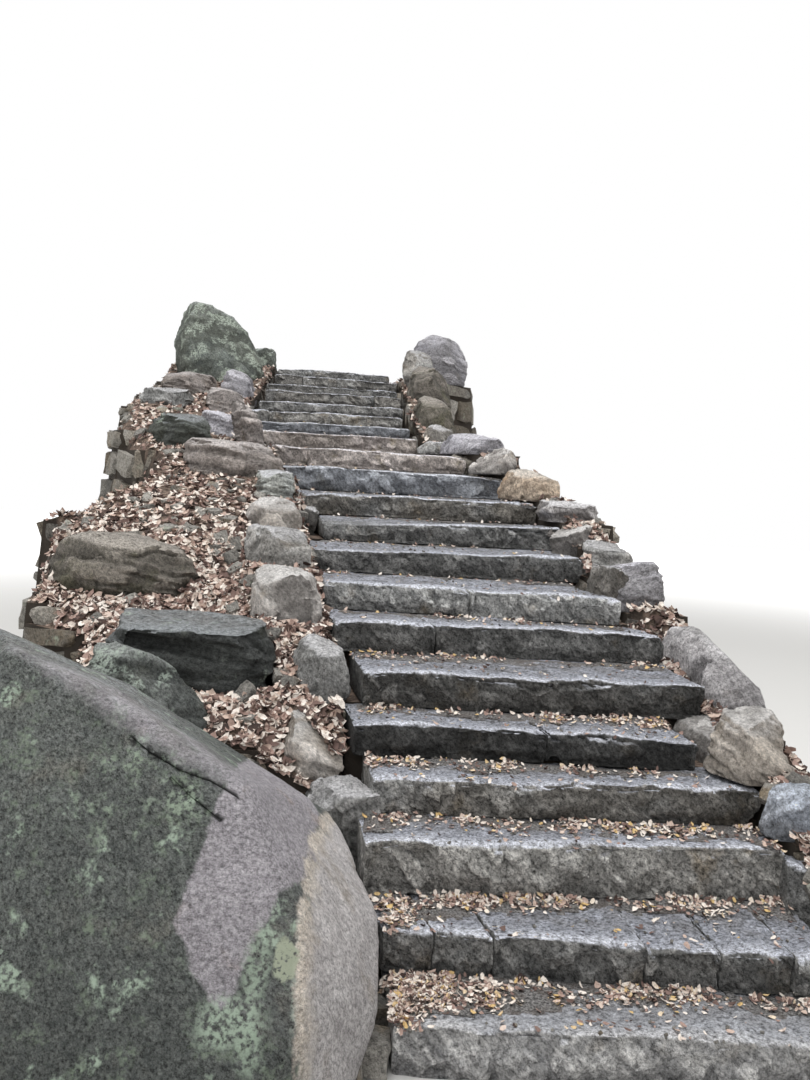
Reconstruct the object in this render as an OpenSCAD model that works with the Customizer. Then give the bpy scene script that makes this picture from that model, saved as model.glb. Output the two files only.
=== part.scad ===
// A flight of natural stone steps that climbs between edge rocks and drifts to the left.
// Each step is a thick slab, or a row of blocks, whose back lies under the front of the next one.
// +X is right, +Y is uphill, +Z is up. The origin is on the base, under the front of the third step.

/* [Flight] */
// Mean height of one step
riser = 155; // [130:5:190]
// Mean depth of one tread, front to front
going = 465; // [400:5:560]
// Width between the edge rocks at the foot
foot_width = 1680; // [1300:20:2100]
// Width between the edge rocks at the head
head_width = 1540; // [1200:20:2000]
// How far the head lies to the left of the foot
flight_drift = 1740; // [0:20:2100]

/* [Slabs] */
// Part of each slab that lies under the next one
slab_lap = 90; // [50:5:140]
// Open joint between neighbouring stones
joint = 8; // [5:1:15]
// Depth of the bumps and hollows on a hewn riser
hewn_depth = 24; // [5:1:35]
// Rounding of the front edge of a tread
arris = 16; // [6:1:24]
// Wear in the middle of a tread
tread_wear = 10; // [2:1:18]

/* [Walls] */
// Width of the kerb of rocks on the left
kerb_width = 400; // [340:10:520]
// How far the bank of rocks outside the kerb reaches from the flight
bank_reach = 1180; // [1100:10:1500]
// Sideways lean of the walls for each unit of height
wall_batter = 0.08; // [0:0.01:0.15]
// Thickness of the wall at the head
back_thickness = 380; // [250:10:500]

// Least height of the wall under an edge rock
footing = 60; // [40:5:120]

/* [Hidden] */
// Each step by its differences from the mean: rise, tread, how far the left and right ends stop short of the
// edge, how far the right end is turned uphill, and how much the right end of the front edge is lower
STEPS = [
    [25, -165, 15, 20, 15, 0],
    [10, -115, 15, 20, -10, 8],
    [65, -215, 15, 15, 80, 0],
    [5, -215, 70, 15, 45, 0],
    [-5, -155, 20, 205, 15, 10],
    [20, -25, 100, 15, 35, 0],
    [10, -185, 15, 15, 50, 0],
    [0, 95, 20, 90, -50, 0],
    [-5, 65, 15, 30, 40, -15],
    [-15, 105, 120, 20, 30, -35],
    [0, 165, 20, 20, 20, 0],
    [25, -65, 20, 20, 0, 14],
    [0, 285, 20, 20, 30, 14],
    [0, 135, 30, 60, 80, 0],
    [-45, 135, 30, 30, 60, 0],
    [-15, 85, 20, 50, 60, 0],
    [-25, 35, 40, 20, 70, 0],
    [0, 35, 60, 20, 80, 0],
    [-45, 35, 20, 40, 90, 0],
    [0, -5, 60, 20, 110, 10],
    [-35, 135, 60, 120, 110, 0],
];
STEP_COUNT = len(STEPS);
// Share of the drift reached at each share of the flight's length
BEND = [[0, 0], [0.1, 0.06], [0.2, 0.17], [0.3, 0.305], [0.41, 0.405], [0.48, 0.49], [0.52, 0.61],
    [0.6, 0.84], [0.73, 0.92], [1, 1]];
// Where the stones of a step meet, as shares of its width, for the steps that are rows of blocks
JOINTS = [[1], [0.11, 0.24, 0.57, 0.73, 0.89, 1], [1], [1], [0.56, 1], [1], [0.3, 1], [0.5, 1], [1], [1], [1],
    [1], [0.17, 1], [1], [1], [0.12, 1], [1], [0.8, 1], [1], [0.23, 0.51, 1], [1]];
// Spacing of the points along a slab
column_spacing = 150;

function sum_to(list, n) = n <= 0 ? 0 : list[n - 1] + sum_to(list, n - 1);
RISES = [for (s = STEPS) riser + s[0]];
GOINGS = [for (s = STEPS) going + s[1]];
TOPS = [for (i = [0:STEP_COUNT]) sum_to(RISES, i)];
// The front of the third step is at y = 0
FRONTS = [for (i = [0:STEP_COUNT]) sum_to(GOINGS, i) - GOINGS[0] - GOINGS[1]];
foot_y = FRONTS[0];
head_y = FRONTS[STEP_COUNT];
flight_length = FRONTS[STEP_COUNT - 1] - foot_y;

// A place along the flight is counted in steps: 4.5 is halfway back on the fourth tread
function along(s) = lookup(s, [for (i = [0:STEP_COUNT]) [i + 1, FRONTS[i]]]);
function top_at(s) = TOPS[max(0, min(STEP_COUNT, floor(s)))];

// How far each edge swells beyond an even taper at a place along the flight, where the steps run wider
RIGHT_SWELL = [[1, 60], [3, 85], [4, 40], [5, 90], [6, 65], [7, 110], [8, 20], [9, 10], [10, 40], [11, 50],
    [12, 30], [13, 45], [15, 0]];
LEFT_SWELL = [[1, -70], [2, -80], [3, 0]];

// The centre line and the edges run straight from the front of one step to the next
CENTRES = [
    for (i = [0:STEP_COUNT])
        [FRONTS[i], (lookup(i + 1, RIGHT_SWELL) - lookup(i + 1, LEFT_SWELL)) / 2
            - flight_drift * lookup((FRONTS[i] - foot_y) / flight_length, BEND)]
];
HALVES = [
    for (i = [0:STEP_COUNT])
        [FRONTS[i], (lookup(i + 1, RIGHT_SWELL) + lookup(i + 1, LEFT_SWELL)
            + lookup((FRONTS[i] - foot_y) / flight_length, [[0, foot_width], [1, head_width]])) / 2]
];
function centre(y) = lookup(y, CENTRES);
function half_width(y) = lookup(y, HALVES);
function edge(side, y) = centre(y) + side * half_width(y);

// Where the front line of step i is at x. Past the last step it is the head of the flight.
function turn(i) = i > STEP_COUNT ? 0 : STEPS[i - 1][4];
function front_line(i, x) =
    let (y = FRONTS[i - 1])
    y + turn(i) * (x - centre(y)) / half_width(y);

// Share of the width, and a distance from the front line, turned into x and y
function on_step(i, u, back) =
    let (
        y0 = FRONTS[i - 1],
        x0 = centre(y0) + (2 * u - 1) * half_width(y0),
        y1 = front_line(i, x0) + back,
        x1 = centre(y1) + (2 * u - 1) * half_width(y1)
    )
    [x1, front_line(i, x1) + back];

// One stone of step i from share u0 to share u1 of the width
function slab_column(i, u, n) =
    let (
        bed = TOPS[i - 1],
        top = TOPS[i],
        height = top - bed,
        drop = STEPS[i - 1][5] * (2 * u - 1),
        wear = drop + arris * 0.55 * n[3],
        last = i == STEP_COUNT,
        front = on_step(i, u, 0),
        next = on_step(i + 1, u, 0)
    )
    let (
        foot = on_step(i, u, hewn_depth * (0.5 + 0.5 * n[0])),
        low = on_step(i, u, hewn_depth * 0.9 * n[1]),
        high = on_step(i, u, hewn_depth * 0.6 * n[2]),
        lip = on_step(i, u, hewn_depth * 0.25 * n[4]),
        brow = on_step(i, u, arris * 1.3 + hewn_depth * 0.25 * n[4]),
        middle = (front + next) / 2,
        seat = last ? (front + 3 * next) / 4 : on_step(i + 1, u, -joint),
        back = on_step(i + 1, u, last ? -joint : slab_lap)
    )
    [
        [foot[0], foot[1], bed],
        [low[0], low[1], bed + height * 0.36],
        [high[0], high[1], bed + height * 0.68],
        [lip[0], lip[1], top - arris - wear],
        [brow[0], brow[1], top - wear - 2],
        [middle[0], middle[1], top - tread_wear * (0.7 + 0.3 * n[5]) - drop / 2],
        [seat[0], seat[1], top],
        [back[0], back[1], top],
        [back[0], back[1], bed],
    ];
SECTION = 9;

module stone(i, u0, u1, seed) {
    span = (u1 - u0) * half_width(FRONTS[i - 1]) * 2;
    columns = max(2, round(span / column_spacing));
    noise = rands(-1, 1, (columns + 1) * 6, seed);
    points = [
        for (j = [0:columns])
            let (
                end = j == 0 || j == columns ? 1 : 0,
                shift = end == 1 ? 0 : 0.25 * noise[j * 6] / columns,
                u = u0 + (u1 - u0) * (j / columns + shift)
            )
            each slab_column(i, u, [for (k = [0:5]) noise[j * 6 + k] + end * (k == 3 ? 0.9 : 0.5)])
    ];
    left = [for (k = [0:SECTION - 1]) points[k]];
    right = [for (k = [0:SECTION - 1]) points[columns * SECTION + k]];
    all_points = concat(points, [mean_point(left), mean_point(right)]);
    first_cap = len(points);
    faces = concat(
        [
            for (j = [0:columns - 1])
                for (k = [0:SECTION - 1])
                    let (
                        a = j * SECTION + k,
                        b = j * SECTION + (k + 1) % SECTION,
                        c = b + SECTION,
                        d = a + SECTION
                    )
                    each [[a, b, c], [a, c, d]]
        ],
        [for (k = [0:SECTION - 1]) [first_cap, (k + 1) % SECTION, k]],
        [
            for (k = [0:SECTION - 1])
                [first_cap + 1, columns * SECTION + k, columns * SECTION + (k + 1) % SECTION]
        ]
    );
    polyhedron(all_points, faces);
}

function mean_point(list) = sum_points(list, len(list)) / len(list);
function sum_points(list, n) = n == 1 ? list[0] : list[n - 1] + sum_points(list, n - 1);

// How far the straight end of step i would pass the edge where the edge bends, at its own front or at its back
function past_bend(side, i) =
    let (
        y0 = front_line(i, edge(side, FRONTS[i - 1])),
        y1 = front_line(i + 1, edge(side, FRONTS[i])) + slab_lap,
        ends = [[y0, edge(side, y0)], [y1, edge(side, y1)]]
    )
    max([for (y = [FRONTS[i - 1], FRONTS[i]]) y > y0 && y < y1 ? side * (lookup(y, ends) - edge(side, y)) : 0]);

// A whole step: its stones side by side, with an open joint between each pair
module step(i) {
    width = half_width(FRONTS[i - 1]) * 2;
    left = (STEPS[i - 1][2] + past_bend(-1, i)) / width;
    right = 1 - (STEPS[i - 1][3] + past_bend(1, i)) / width;
    cuts = concat([0], JOINTS[i - 1]);
    gap = joint / width / 2;
    for (k = [0:len(cuts) - 2]) {
        u0 = left + (right - left) * cuts[k] + (k > 0 ? gap : 0);
        u1 = left + (right - left) * cuts[k + 1] - (k < len(cuts) - 2 ? gap : 0);
        stone(i, u0, u1, 100 * i + k);
    }
}

// Rocks. Each is a closed loft of rings with a flat bed. A form has the rings, as shares of the height and of the
// plan, and how square the plan is.
BOULDER = [[[0, 0.9], [0.2, 1], [0.55, 0.96], [0.82, 0.78], [0.96, 0.45]], 2.8];
BLOCK = [[[0, 0.95], [0.15, 1], [0.55, 0.98], [0.88, 0.9], [0.98, 0.7]], 4];
SLAB = [[[0, 0.93], [0.3, 1], [0.8, 0.98], [0.97, 0.86]], 4];
LAYERED = [[[0, 0.86], [0.3, 0.88], [0.34, 0.98], [0.62, 1], [0.66, 0.92], [0.93, 0.84]], 4];
WHALEBACK = [[[0, 1], [0.3, 0.99], [0.6, 0.92], [0.85, 0.74], [0.97, 0.45]], 3];
PEAK = [[[0, 0.95], [0.25, 1], [0.6, 0.82], [0.86, 0.48]], 3];
// Sides of a rock, and how uneven they are
rock_sides = 10;
roughness = 0.12;

function power(v, e) = sign(v) * pow(abs(v), e);
// A share of the width pushed over by a lean that grows with the height, and kept between 0 and 1
function leaned(u, w, lean) = (u + abs(lean) * (lean > 0 ? w : 1 - w)) / (1 + abs(lean));

// Rock points in a unit box: u across, v along, w up. The top falls away by the slopes.
function rock_points(form, slope, lean, seed) =
    let (
        rings = form[0],
        n = rands(0, 1, rock_sides * (len(rings) + 1), seed)
    )
    concat(
        [
            for (k = [0:len(rings) - 1])
                for (a = [0:rock_sides - 1])
                    let (
                        angle = 360 * (a + 0.5 * n[a] + 0.25) / rock_sides,
                        r = rings[k][1] * (1 - roughness * (0.6 * n[a] + 0.4 * n[rock_sides * (k + 1) + a])),
                        u = 0.5 + 0.5 * r * power(cos(angle), 2 / form[1]),
                        v = 0.5 + 0.5 * r * power(sin(angle), 2 / form[1]),
                        w = rings[k][0]
                    )
                    [leaned(u, w, lean[0]), leaned(v, w, lean[1]),
                        w * (1 + slope[0] * (u - 0.5) + slope[1] * (v - 0.5))]
        ],
        [[leaned(0.5, 1, lean[0]), leaned(0.5, 1, lean[1]), 1]]
    );

function rock_faces(levels) = concat(
    [[for (a = [0:rock_sides - 1]) a]],
    [
        for (k = [0:levels - 2])
            for (a = [0:rock_sides - 1])
                let (
                    p = k * rock_sides + a,
                    q = k * rock_sides + (a + 1) % rock_sides
                )
                each [[p, p + rock_sides, q + rock_sides], [p, q + rock_sides, q]]
    ],
    [
        for (a = [0:rock_sides - 1])
            [levels * rock_sides, (levels - 1) * rock_sides + (a + 1) % rock_sides,
                (levels - 1) * rock_sides + a]
    ]
);

// An edge rock beside the flight. It fills its own stretch of the edge and lies on the wall's ledge there:
// [from, to, bed below the tread, distance out, width, height, form, slope out and up, lean out and up, seed].
// The width of a kerb rock is given by its difference from the kerb's.
module edge_rock(side, r, width, start = 0) {
    y0 = along(r[0]) + joint / 2;
    y1 = along(r[1]) - joint / 2;
    bed = bed_of(r);
    points = [
        for (p = rock_points(r[6], r[7], r[8], r[9]))
            let (y = y0 + (y1 - y0) * p[1])
            [edge(side, y) + side * (start + joint + r[3] + width * p[0]), y, bed + r[5] * p[2]]
    ];
    faces = rock_faces(len(r[6][0]));
    polyhedron(points, side > 0 ? faces : [for (f = faces) [for (k = [len(f) - 1:-1:0]) f[k]]]);
}

function bed_of(r) = max(footing, top_at(r[0]) - r[2]);

// Rocks of the right edge, from the foot up
RIGHT = [
    [1, 2.2, 100, 0, 380, 250, BLOCK, [-0.4, 0.1], [0, 0], 11],
    [2.2, 3.35, 110, 0, 360, 320, BOULDER, [-0.3, 0.1], [0, 0], 12],
    [3.35, 4, -10, -120, 440, 210, BLOCK, [-0.2, 0.1], [0.1, 0], 13],
    [4, 5.7, -10, -205, 410, 290, WHALEBACK, [0.1, 0.2], [0.15, 0.2], 14],
    [5.7, 8.15, 40, 0, 330, 400, WHALEBACK, [-0.5, 0.35], [0, 0.15], 15],
    [8.15, 8.95, 100, -95, 400, 270, BLOCK, [0.2, -0.1], [0.1, 0], 16],
    [8.95, 10, -40, 0, 300, 210, BLOCK, [-0.2, 0], [0, 0], 17],
    [10, 11, -45, -110, 400, 140, LAYERED, [-0.2, 0], [0, 0], 18],
    [11, 12, -10, -195, 440, 230, BOULDER, [-0.2, 0.2], [0.1, 0], 19],
    [12, 13, -10, -180, 400, 220, PEAK, [0, 0.2], [0.2, 0], 20],
    [13, 13.75, -10, -130, 480, 180, WHALEBACK, [-0.2, 0.2], [0, 0], 21],
    [13.75, 14, -10, -140, 320, 120, BOULDER, [0, 0], [0, 0], 22],
    [14, 14.65, 90, 0, 300, 220, BOULDER, [-0.2, 0], [0, 0], 23],
    [14.65, 16.4, -40, 0, 400, 400, BOULDER, [-0.3, 0.2], [0, 0.1], 24],
    [16.4, 18.85, -140, 0, 500, 450, WHALEBACK, [-0.3, 0.2], [0, 0], 25],
    [18.85, 20.15, -110, 0, 380, 480, LAYERED, [-0.2, 0.1], [0, 0], 26],
    [20.15, 22, 0, 0, 970, 640, WHALEBACK, [-0.35, 0.1], [0.15, 0.2], 27],
];
// Rocks of the left kerb, behind the great boulder
KERB = [
    [4.4, 5.6, 130, -20, -60, 210, SLAB, [0.9, 0.5], [-0.25, 0], 31],
    [5.6, 7, 0, -65, -125, 300, BOULDER, [0.2, 0], [0, 0], 32],
    [7, 8.3, 80, 0, 0, 300, BLOCK, [0.2, 0], [0, 0], 33],
    [8.3, 9.3, 0, 0, -10, 250, BLOCK, [0.1, 0], [0, 0.2], 34],
    [9.3, 10.55, 0, 0, 0, 260, BOULDER, [0, 0], [0, 0.1], 35],
    [10.55, 11.55, -50, 0, -70, 250, LAYERED, [0.1, 0], [0, 0], 36],
    [11.55, 12.8, -30, 0, 460, 320, BLOCK, [0.1, 0.1], [0.1, 0.1], 37],
    [12.8, 13.55, -110, 0, -110, 390, LAYERED, [0.5, 0], [0.4, 0], 38],
    [13.55, 14.6, -40, 0, -20, 250, BLOCK, [0.2, 0], [0, 0], 39],
    [14.6, 16.2, -120, 0, -10, 280, LAYERED, [0.3, 0], [0, 0], 40],
    [16.2, 18.85, -60, 0, -10, 380, WHALEBACK, [0.3, 0.2], [0, 0], 41],
    [18.85, 21.2, -60, 0, 880, 980, BOULDER, [0.4, 0.1], [0.15, 0.1], 42],
    [21.2, 22, 0, 0, -10, 280, BLOCK, [0, 0], [0, 0], 43],
];
// Rocks of the left bank, outside the kerb
BANK = [
    [4.4, 5.6, -40, 130, 700, 390, WHALEBACK, [0.5, 0], [0.2, 0], 51],
    [5.6, 7, 0, -160, 900, 390, LAYERED, [0.1, 0.1], [0, 0], 52],
    [7.9, 9.3, 40, 200, 960, 380, BOULDER, [0.2, 0], [0, 0], 53],
    [12.8, 13.7, -60, 30, 480, 320, BLOCK, [0, 0.2], [0, 0], 54],
    [14.6, 16.2, -160, 60, 560, 220, LAYERED, [0, 0], [0, 0], 55],
    [16.2, 18.85, -90, 40, 560, 310, LAYERED, [0, 0.2], [0, 0], 56],
];
// Plain ledges of the bank between its rocks: from, to, and depth below the tread
BANK_LEDGES = [[7, 7.9, 150], [9.3, 10.55, -60], [10.55, 11.55, -80], [13.7, 14.6, -80], [21.2, 22, 0]];

// Outer line of each wall: a place, and how far out the top of the wall reaches there
RIGHT_LINE = [[1, 400], [3, 350], [4, 260], [5.7, 290], [8, 330], [10, 300], [12, 260], [13.5, 340], [14, 320],
    [16.4, 420], [20.15, 460], [20.5, 900], [22, 910]];
LEFT_LINE = [[4.4, 1.0], [7, 1.12], [7.9, 1.34], [9.3, 1.36], [10.5, 1.1], [12, 0.9], [18, 1], [20, 1.1],
    [22, 1.1]];
function right_line(s) = lookup(s, RIGHT_LINE);
function left_line(s) = lookup(s, LEFT_LINE) * bank_reach;

// The great boulder stands on the ground and ends the first steps on the left. Points are an offset from the
// flight's left edge, a share of the way from the foot to the wall behind, and a height: a broad sloping face,
// a ridge, and a steep side along the step ends.
BOULDER_POINTS = [
    [-90, -0.2, 0], [-230, -0.5, 0], [-550, -0.7, 0], [-1270, -0.57, 0], [-1630, -0.18, 0], [-1520, 0.64, 0],
    [-900, 0.96, 0], [-130, 1, 0], [-60, 0.1, 0],
    [0, -0.05, 250], [0, 0.16, 340], [0, 0.27, 410], [-10, 0.5, 430], [-40, 0.7, 540],
    [-100, -0.16, 240], [-210, -0.36, 420],
    [-1600, -0.07, 700], [-1560, 0.57, 760], [-900, 0.98, 600], [-160, 1, 480], [-560, 1, 420],
    [-90, 0.78, 600], [-240, -0.2, 600], [-490, 0, 960], [-830, 0.05, 1150], [-1280, 0.17, 1310],
    [-1420, 0.48, 1330], [-900, 0.75, 1080], [-380, 0.7, 780],
];
// Clearance where one stone only just touches another
seat = 0.3;
module great_boulder() {
    reach = along(KERB[0][0]) - seat - foot_y;
    points = [
        for (p = BOULDER_POINTS)
            let (y = foot_y + reach * p[1])
            [edge(-1, y) - joint + p[0], y, p[2]]
    ];
    color("dimgray")
        hull()
            polyhedron(points, [for (k = [2:len(points) - 1]) [0, k - 1, k]]);
}

// The packed rubble under the steps: a block cut back to a level bed behind each slab
module rubble_core() {
    far = 6000;
    core_end = head_y - back_thickness;
    ys = concat([for (i = [1:STEP_COUNT]) if (FRONTS[i] < core_end) FRONTS[i]], [core_end]);
    left = [for (y = ys) [edge(-1, y), y]];
    right = [for (k = [len(ys) - 1:-1:0]) [edge(1, ys[k]), ys[k]]];
    color("tan")
        difference() {
            linear_extrude(height = TOPS[STEP_COUNT - 1])
                polygon(concat(left, right));
            for (i = [1:STEP_COUNT - 1])
                translate([0, 0, i == 1 ? -1 : TOPS[i - 1]])
                    linear_extrude(height = TOPS[STEP_COUNT])
                        polygon([
                            [-far, -far],
                            [far, -far],
                            [far, front_line(i + 1, far) + slab_lap + joint],
                            [-far, front_line(i + 1, -far) + slab_lap + joint],
                        ]);
        }
}

// A stretch of wall between two places, from the inner to the outer offsets at each end. Its outer face leans
// in as it rises, unless another wall stands against it, and so does its end at the head of the flight.
module wall_stretch(side, s0, s1, inner, outer0, outer1, top, batter = wall_batter) {
    corners = [
        for (z = [0, top])
            for (end = [[s0, outer0], [s1, outer1]])
                for (u = [inner, end[1] + (z == 0 ? batter * top : 0)])
                    let (
                        back = end[0] == STEP_COUNT + 1 ? wall_batter * (TOPS[STEP_COUNT - 1] - z) : 0,
                        y = along(end[0])
                    )
                    [edge(side, y) + side * u, y + back, z]
    ];
    hull()
        polyhedron(corners, [[0, 1, 3, 2], [4, 6, 7, 5], [0, 4, 5, 1], [2, 3, 7, 6], [0, 2, 6, 4], [1, 5, 7, 3]]);
}

// The places where a stretch is cut so that it follows the bends of the edge
function cuts_of(s0, s1) = concat([s0], [for (i = [1:STEP_COUNT]) if (i > s0 && i < s1) i], [s1]);

module right_wall() {
    color("gray")
        for (r = RIGHT)
            let (cuts = cuts_of(r[0], r[1]))
                for (k = [0:len(cuts) - 2])
                    wall_stretch(1, cuts[k], cuts[k + 1], 0, right_line(cuts[k]), right_line(cuts[k + 1]), bed_of(r));
}

// Under the kerb. Where a rock reaches over the bank too, its ledge goes out to the bank's line.
module kerb_wall() {
    color("gray")
        for (r = KERB)
            let (cuts = cuts_of(r[0], r[1]), wide = r[4] > 0)
                for (k = [0:len(cuts) - 2])
                    wall_stretch(-1, cuts[k], cuts[k + 1], 0, wide ? left_line(cuts[k]) : kerb_width,
                        wide ? left_line(cuts[k + 1]) : kerb_width, bed_of(r), wide ? wall_batter : 0);
}

module bank_wall() {
    color("gray")
        for (r = concat(BANK, BANK_LEDGES))
            let (cuts = cuts_of(r[0], r[1]))
                for (k = [0:len(cuts) - 2])
                    wall_stretch(-1, cuts[k], cuts[k + 1], kerb_width, left_line(cuts[k]), left_line(cuts[k + 1]),
                        bed_of(r));
}

// The wall at the head, as wide as the flight
module back_wall() {
    top = TOPS[STEP_COUNT - 1];
    y0 = head_y - back_thickness;
    y1 = head_y;
    foot = y1 + wall_batter * top;
    color("gray")
        rotate([90, 0, 90])
            translate([0, 0, edge(-1, y1)])
                linear_extrude(height = 2 * half_width(y1))
                    polygon([[y0, 0], [foot, 0], [y1, top], [y0, top]]);
}

module right_rocks(list) {
    color("slategray")
        for (k = list)
            edge_rock(1, RIGHT[k], RIGHT[k][4]);
}

module kerb_rocks(list) {
    color("slategray")
        for (k = list)
            edge_rock(-1, KERB[k], kerb_width + KERB[k][4]);
}

module bank_rocks(list) {
    color("slategray")
        for (k = list)
            edge_rock(-1, BANK[k], BANK[k][4], kerb_width);
}

function step_name(i) = str("step_", i < 10 ? "0" : "", i);
for (i = [1:STEP_COUNT])
    color(i % 2 == 0 ? "dimgray" : "gray")
            step(i);
great_boulder();
rubble_core();
kerb_wall();
bank_wall();
right_wall();
back_wall();
right_rocks([0, 1]);  // right_foot_rocks
right_rocks([2]);  // right_corner_rock
right_rocks([3]);  // right_tan_boulder
right_rocks([4]);  // right_long_boulder
right_rocks([5, 6]);  // right_low_blocks
right_rocks([7]);  // right_flat_top_rock
right_rocks([8]);  // right_orange_boulder
right_rocks([9, 10]);  // right_ridged_rocks
right_rocks([11, 12]);  // right_small_rocks
right_rocks([13, 14, 15]);  // right_upper_rocks
right_rocks([16]);  // right_head_rock
kerb_rocks([0]);  // left_leaning_slab
kerb_rocks([1, 2, 3, 4]);  // left_round_rocks
kerb_rocks([5, 6]);  // left_layered_rocks
kerb_rocks([7, 8, 9, 10]);  // left_upper_blocks
kerb_rocks([11, 12]);  // left_head_boulder
bank_rocks([0, 1, 2]);  // bank_lower_rocks
bank_rocks([3, 4, 5]);  // bank_upper_rocks
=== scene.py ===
# %% [markdown]
# # A flight of natural stone steps between edge rocks
#
# The real flight is dry-laid: thick slabs of hewn gneiss, each with its back under the front of the next one,
# boulders and blocks along both edges, and fieldstone walls that carry the edges on their outer sides.
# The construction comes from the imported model. This script gives every stone its broken or worn surface,
# lays the small stones of the walls, strews the fallen leaves and grit, and sets up the picture.

import math
import random
from contextlib import contextmanager

import bpy
import numpy as np
from mathutils import Euler, Matrix, Vector
from mathutils.bvhtree import BVHTree
from mathutils.noise import noise as noise_at


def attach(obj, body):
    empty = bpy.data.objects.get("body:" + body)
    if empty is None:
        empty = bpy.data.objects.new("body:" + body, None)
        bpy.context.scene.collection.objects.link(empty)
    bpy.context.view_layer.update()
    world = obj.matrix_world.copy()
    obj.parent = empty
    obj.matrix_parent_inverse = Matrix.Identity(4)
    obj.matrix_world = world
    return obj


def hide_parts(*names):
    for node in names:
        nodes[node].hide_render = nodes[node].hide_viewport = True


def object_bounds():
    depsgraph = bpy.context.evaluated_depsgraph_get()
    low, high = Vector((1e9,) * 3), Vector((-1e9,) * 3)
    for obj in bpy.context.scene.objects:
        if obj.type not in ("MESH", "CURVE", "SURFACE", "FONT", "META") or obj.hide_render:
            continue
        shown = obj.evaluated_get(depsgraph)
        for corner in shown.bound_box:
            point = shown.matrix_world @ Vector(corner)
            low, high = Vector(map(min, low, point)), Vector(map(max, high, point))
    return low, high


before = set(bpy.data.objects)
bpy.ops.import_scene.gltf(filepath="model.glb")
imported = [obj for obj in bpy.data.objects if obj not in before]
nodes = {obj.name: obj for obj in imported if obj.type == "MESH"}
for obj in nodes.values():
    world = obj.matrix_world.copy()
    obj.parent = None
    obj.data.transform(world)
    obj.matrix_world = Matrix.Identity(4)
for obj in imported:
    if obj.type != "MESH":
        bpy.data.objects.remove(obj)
cad_low, cad_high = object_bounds()
print("CAD box", [round(v, 3) for v in (*cad_low, *cad_high)], "nodes", len(nodes))

# %% [markdown]
# ## Small helpers
#
# A node tree is a list of boxes and wires. One function adds a box, sets it up and plugs in its wires, so that
# each material below reads as a recipe. Colours are written as the hex codes that a screen shows, and a shader
# wants light, so one function turns the first into the second.

# %% Helpers for colours, nodes and selections
def linear(code, alpha=1.0):
    """A hex colour as the linear numbers that a shader takes."""
    parts = [int(code[i:i + 2], 16) / 255 for i in (1, 3, 5)]
    return tuple(c / 12.92 if c <= 0.04045 else ((c + 0.055) / 1.055) ** 2.4 for c in parts) + (alpha,)


def add(tree, kind, inputs=None, **settings):
    """Adds a node. Inputs go by name or by place, and each is a value, a socket or a node's first output."""
    node = tree.nodes.new(kind)
    for key, value in settings.items():
        setattr(node, key, value)
    for key, value in (inputs or {}).items():
        socket = node.inputs[key] if isinstance(key, int) else next(
            s for s in node.inputs if s.name == key and s.enabled)
        if isinstance(value, bpy.types.Node):
            value = next(s for s in value.outputs if s.enabled)
        if isinstance(value, bpy.types.NodeSocket):
            tree.links.new(value, socket)
        else:
            socket.default_value = value
    return node


def pick(*objects):
    """Selects these objects and nothing else, and makes the first one active."""
    bpy.ops.object.select_all(action="DESELECT")
    for thing in objects:
        thing.select_set(True)
    bpy.context.view_layer.objects.active = objects[0]


@contextmanager
def whole_in_edit_mode(piece):
    """Opens one piece in edit mode with all of it selected, for the lines under it."""
    pick(piece)
    bpy.ops.object.mode_set(mode="EDIT")
    bpy.ops.mesh.select_all(action="SELECT")
    yield
    bpy.ops.object.mode_set(mode="OBJECT")


def apply_modifiers(piece):
    """Turns what the modifiers show into the mesh itself."""
    pick(piece)
    for name in [m.name for m in piece.modifiers]:
        bpy.ops.object.modifier_apply(modifier=name)


def new_object(name, mesh):
    """Puts a mesh, or the data of a camera, into the scene."""
    thing = bpy.data.objects.new(name, mesh)
    bpy.context.collection.objects.link(thing)
    return thing


def as_radians(turn):
    """A turn about the three axes in degrees, as Blender wants it."""
    return [math.radians(angle) for angle in turn]


def keep_values(piece, name, values):
    """Stores a number or a vector for every point of a mesh, for the materials to read."""
    kind, field = ("FLOAT_VECTOR", "vector") if values.ndim == 2 else ("FLOAT", "value")
    layer = piece.data.attributes.get(name) or piece.data.attributes.new(name, kind, "POINT")
    layer.data.foreach_set(field, np.ascontiguousarray(values, np.float32).ravel())


# %% [markdown]
# ## Stone as a material
#
# Gneiss is a banded rock full of light and dark grains. Where it is split, the grains stand in slanting streaks,
# and where feet and rain wear it, it turns pale and smooth. So one recipe mixes a dark and a light tone along
# the streaks, sets the grains over them, adds brown stains and lichen in blotches, darkens the foot with damp
# and painted shade, paints shade into the hollows and light onto the ridges, lays a painted highlight along the
# rims, and fades to the worn colour, with a painted reflection of the sky on the slabs, where the surface looks
# up. Every pattern has its size in metres, taken from real grains, streaks and blotches.

# %% Patterns that the stones share
def own_place(tree):
    """Where a point is, shifted by a different amount on each stone, so that no pattern runs across a joint."""
    place = add(tree, "ShaderNodeTexCoord").outputs["Object"]
    shift = add(tree, "ShaderNodeAttribute", attribute_name="shift").outputs["Vector"]
    return add(tree, "ShaderNodeVectorMath", {0: place, 1: shift}, operation="ADD")


def patches(tree, place, size, start, end, detail=4):
    """A mask of blotches about size metres across: 0 where their noise is under start, 1 where it is over end."""
    noise = add(tree, "ShaderNodeTexNoise",
                {"Vector": place, "Scale": 1 / size, "Detail": detail, "Roughness": 0.6})
    return add(tree, "ShaderNodeMapRange", {"Value": noise, "From Min": start, "From Max": end},
               interpolation_type="SMOOTHSTEP")


def share_of(tree, name, start, end):
    """A mask from a number stored in the mesh: 0 where it is at start, 1 where it is at end."""
    value = add(tree, "ShaderNodeAttribute", attribute_name=name).outputs["Fac"]
    return add(tree, "ShaderNodeMapRange", {"Value": value, "From Min": start, "From Max": end},
               interpolation_type="SMOOTHSTEP")


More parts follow.
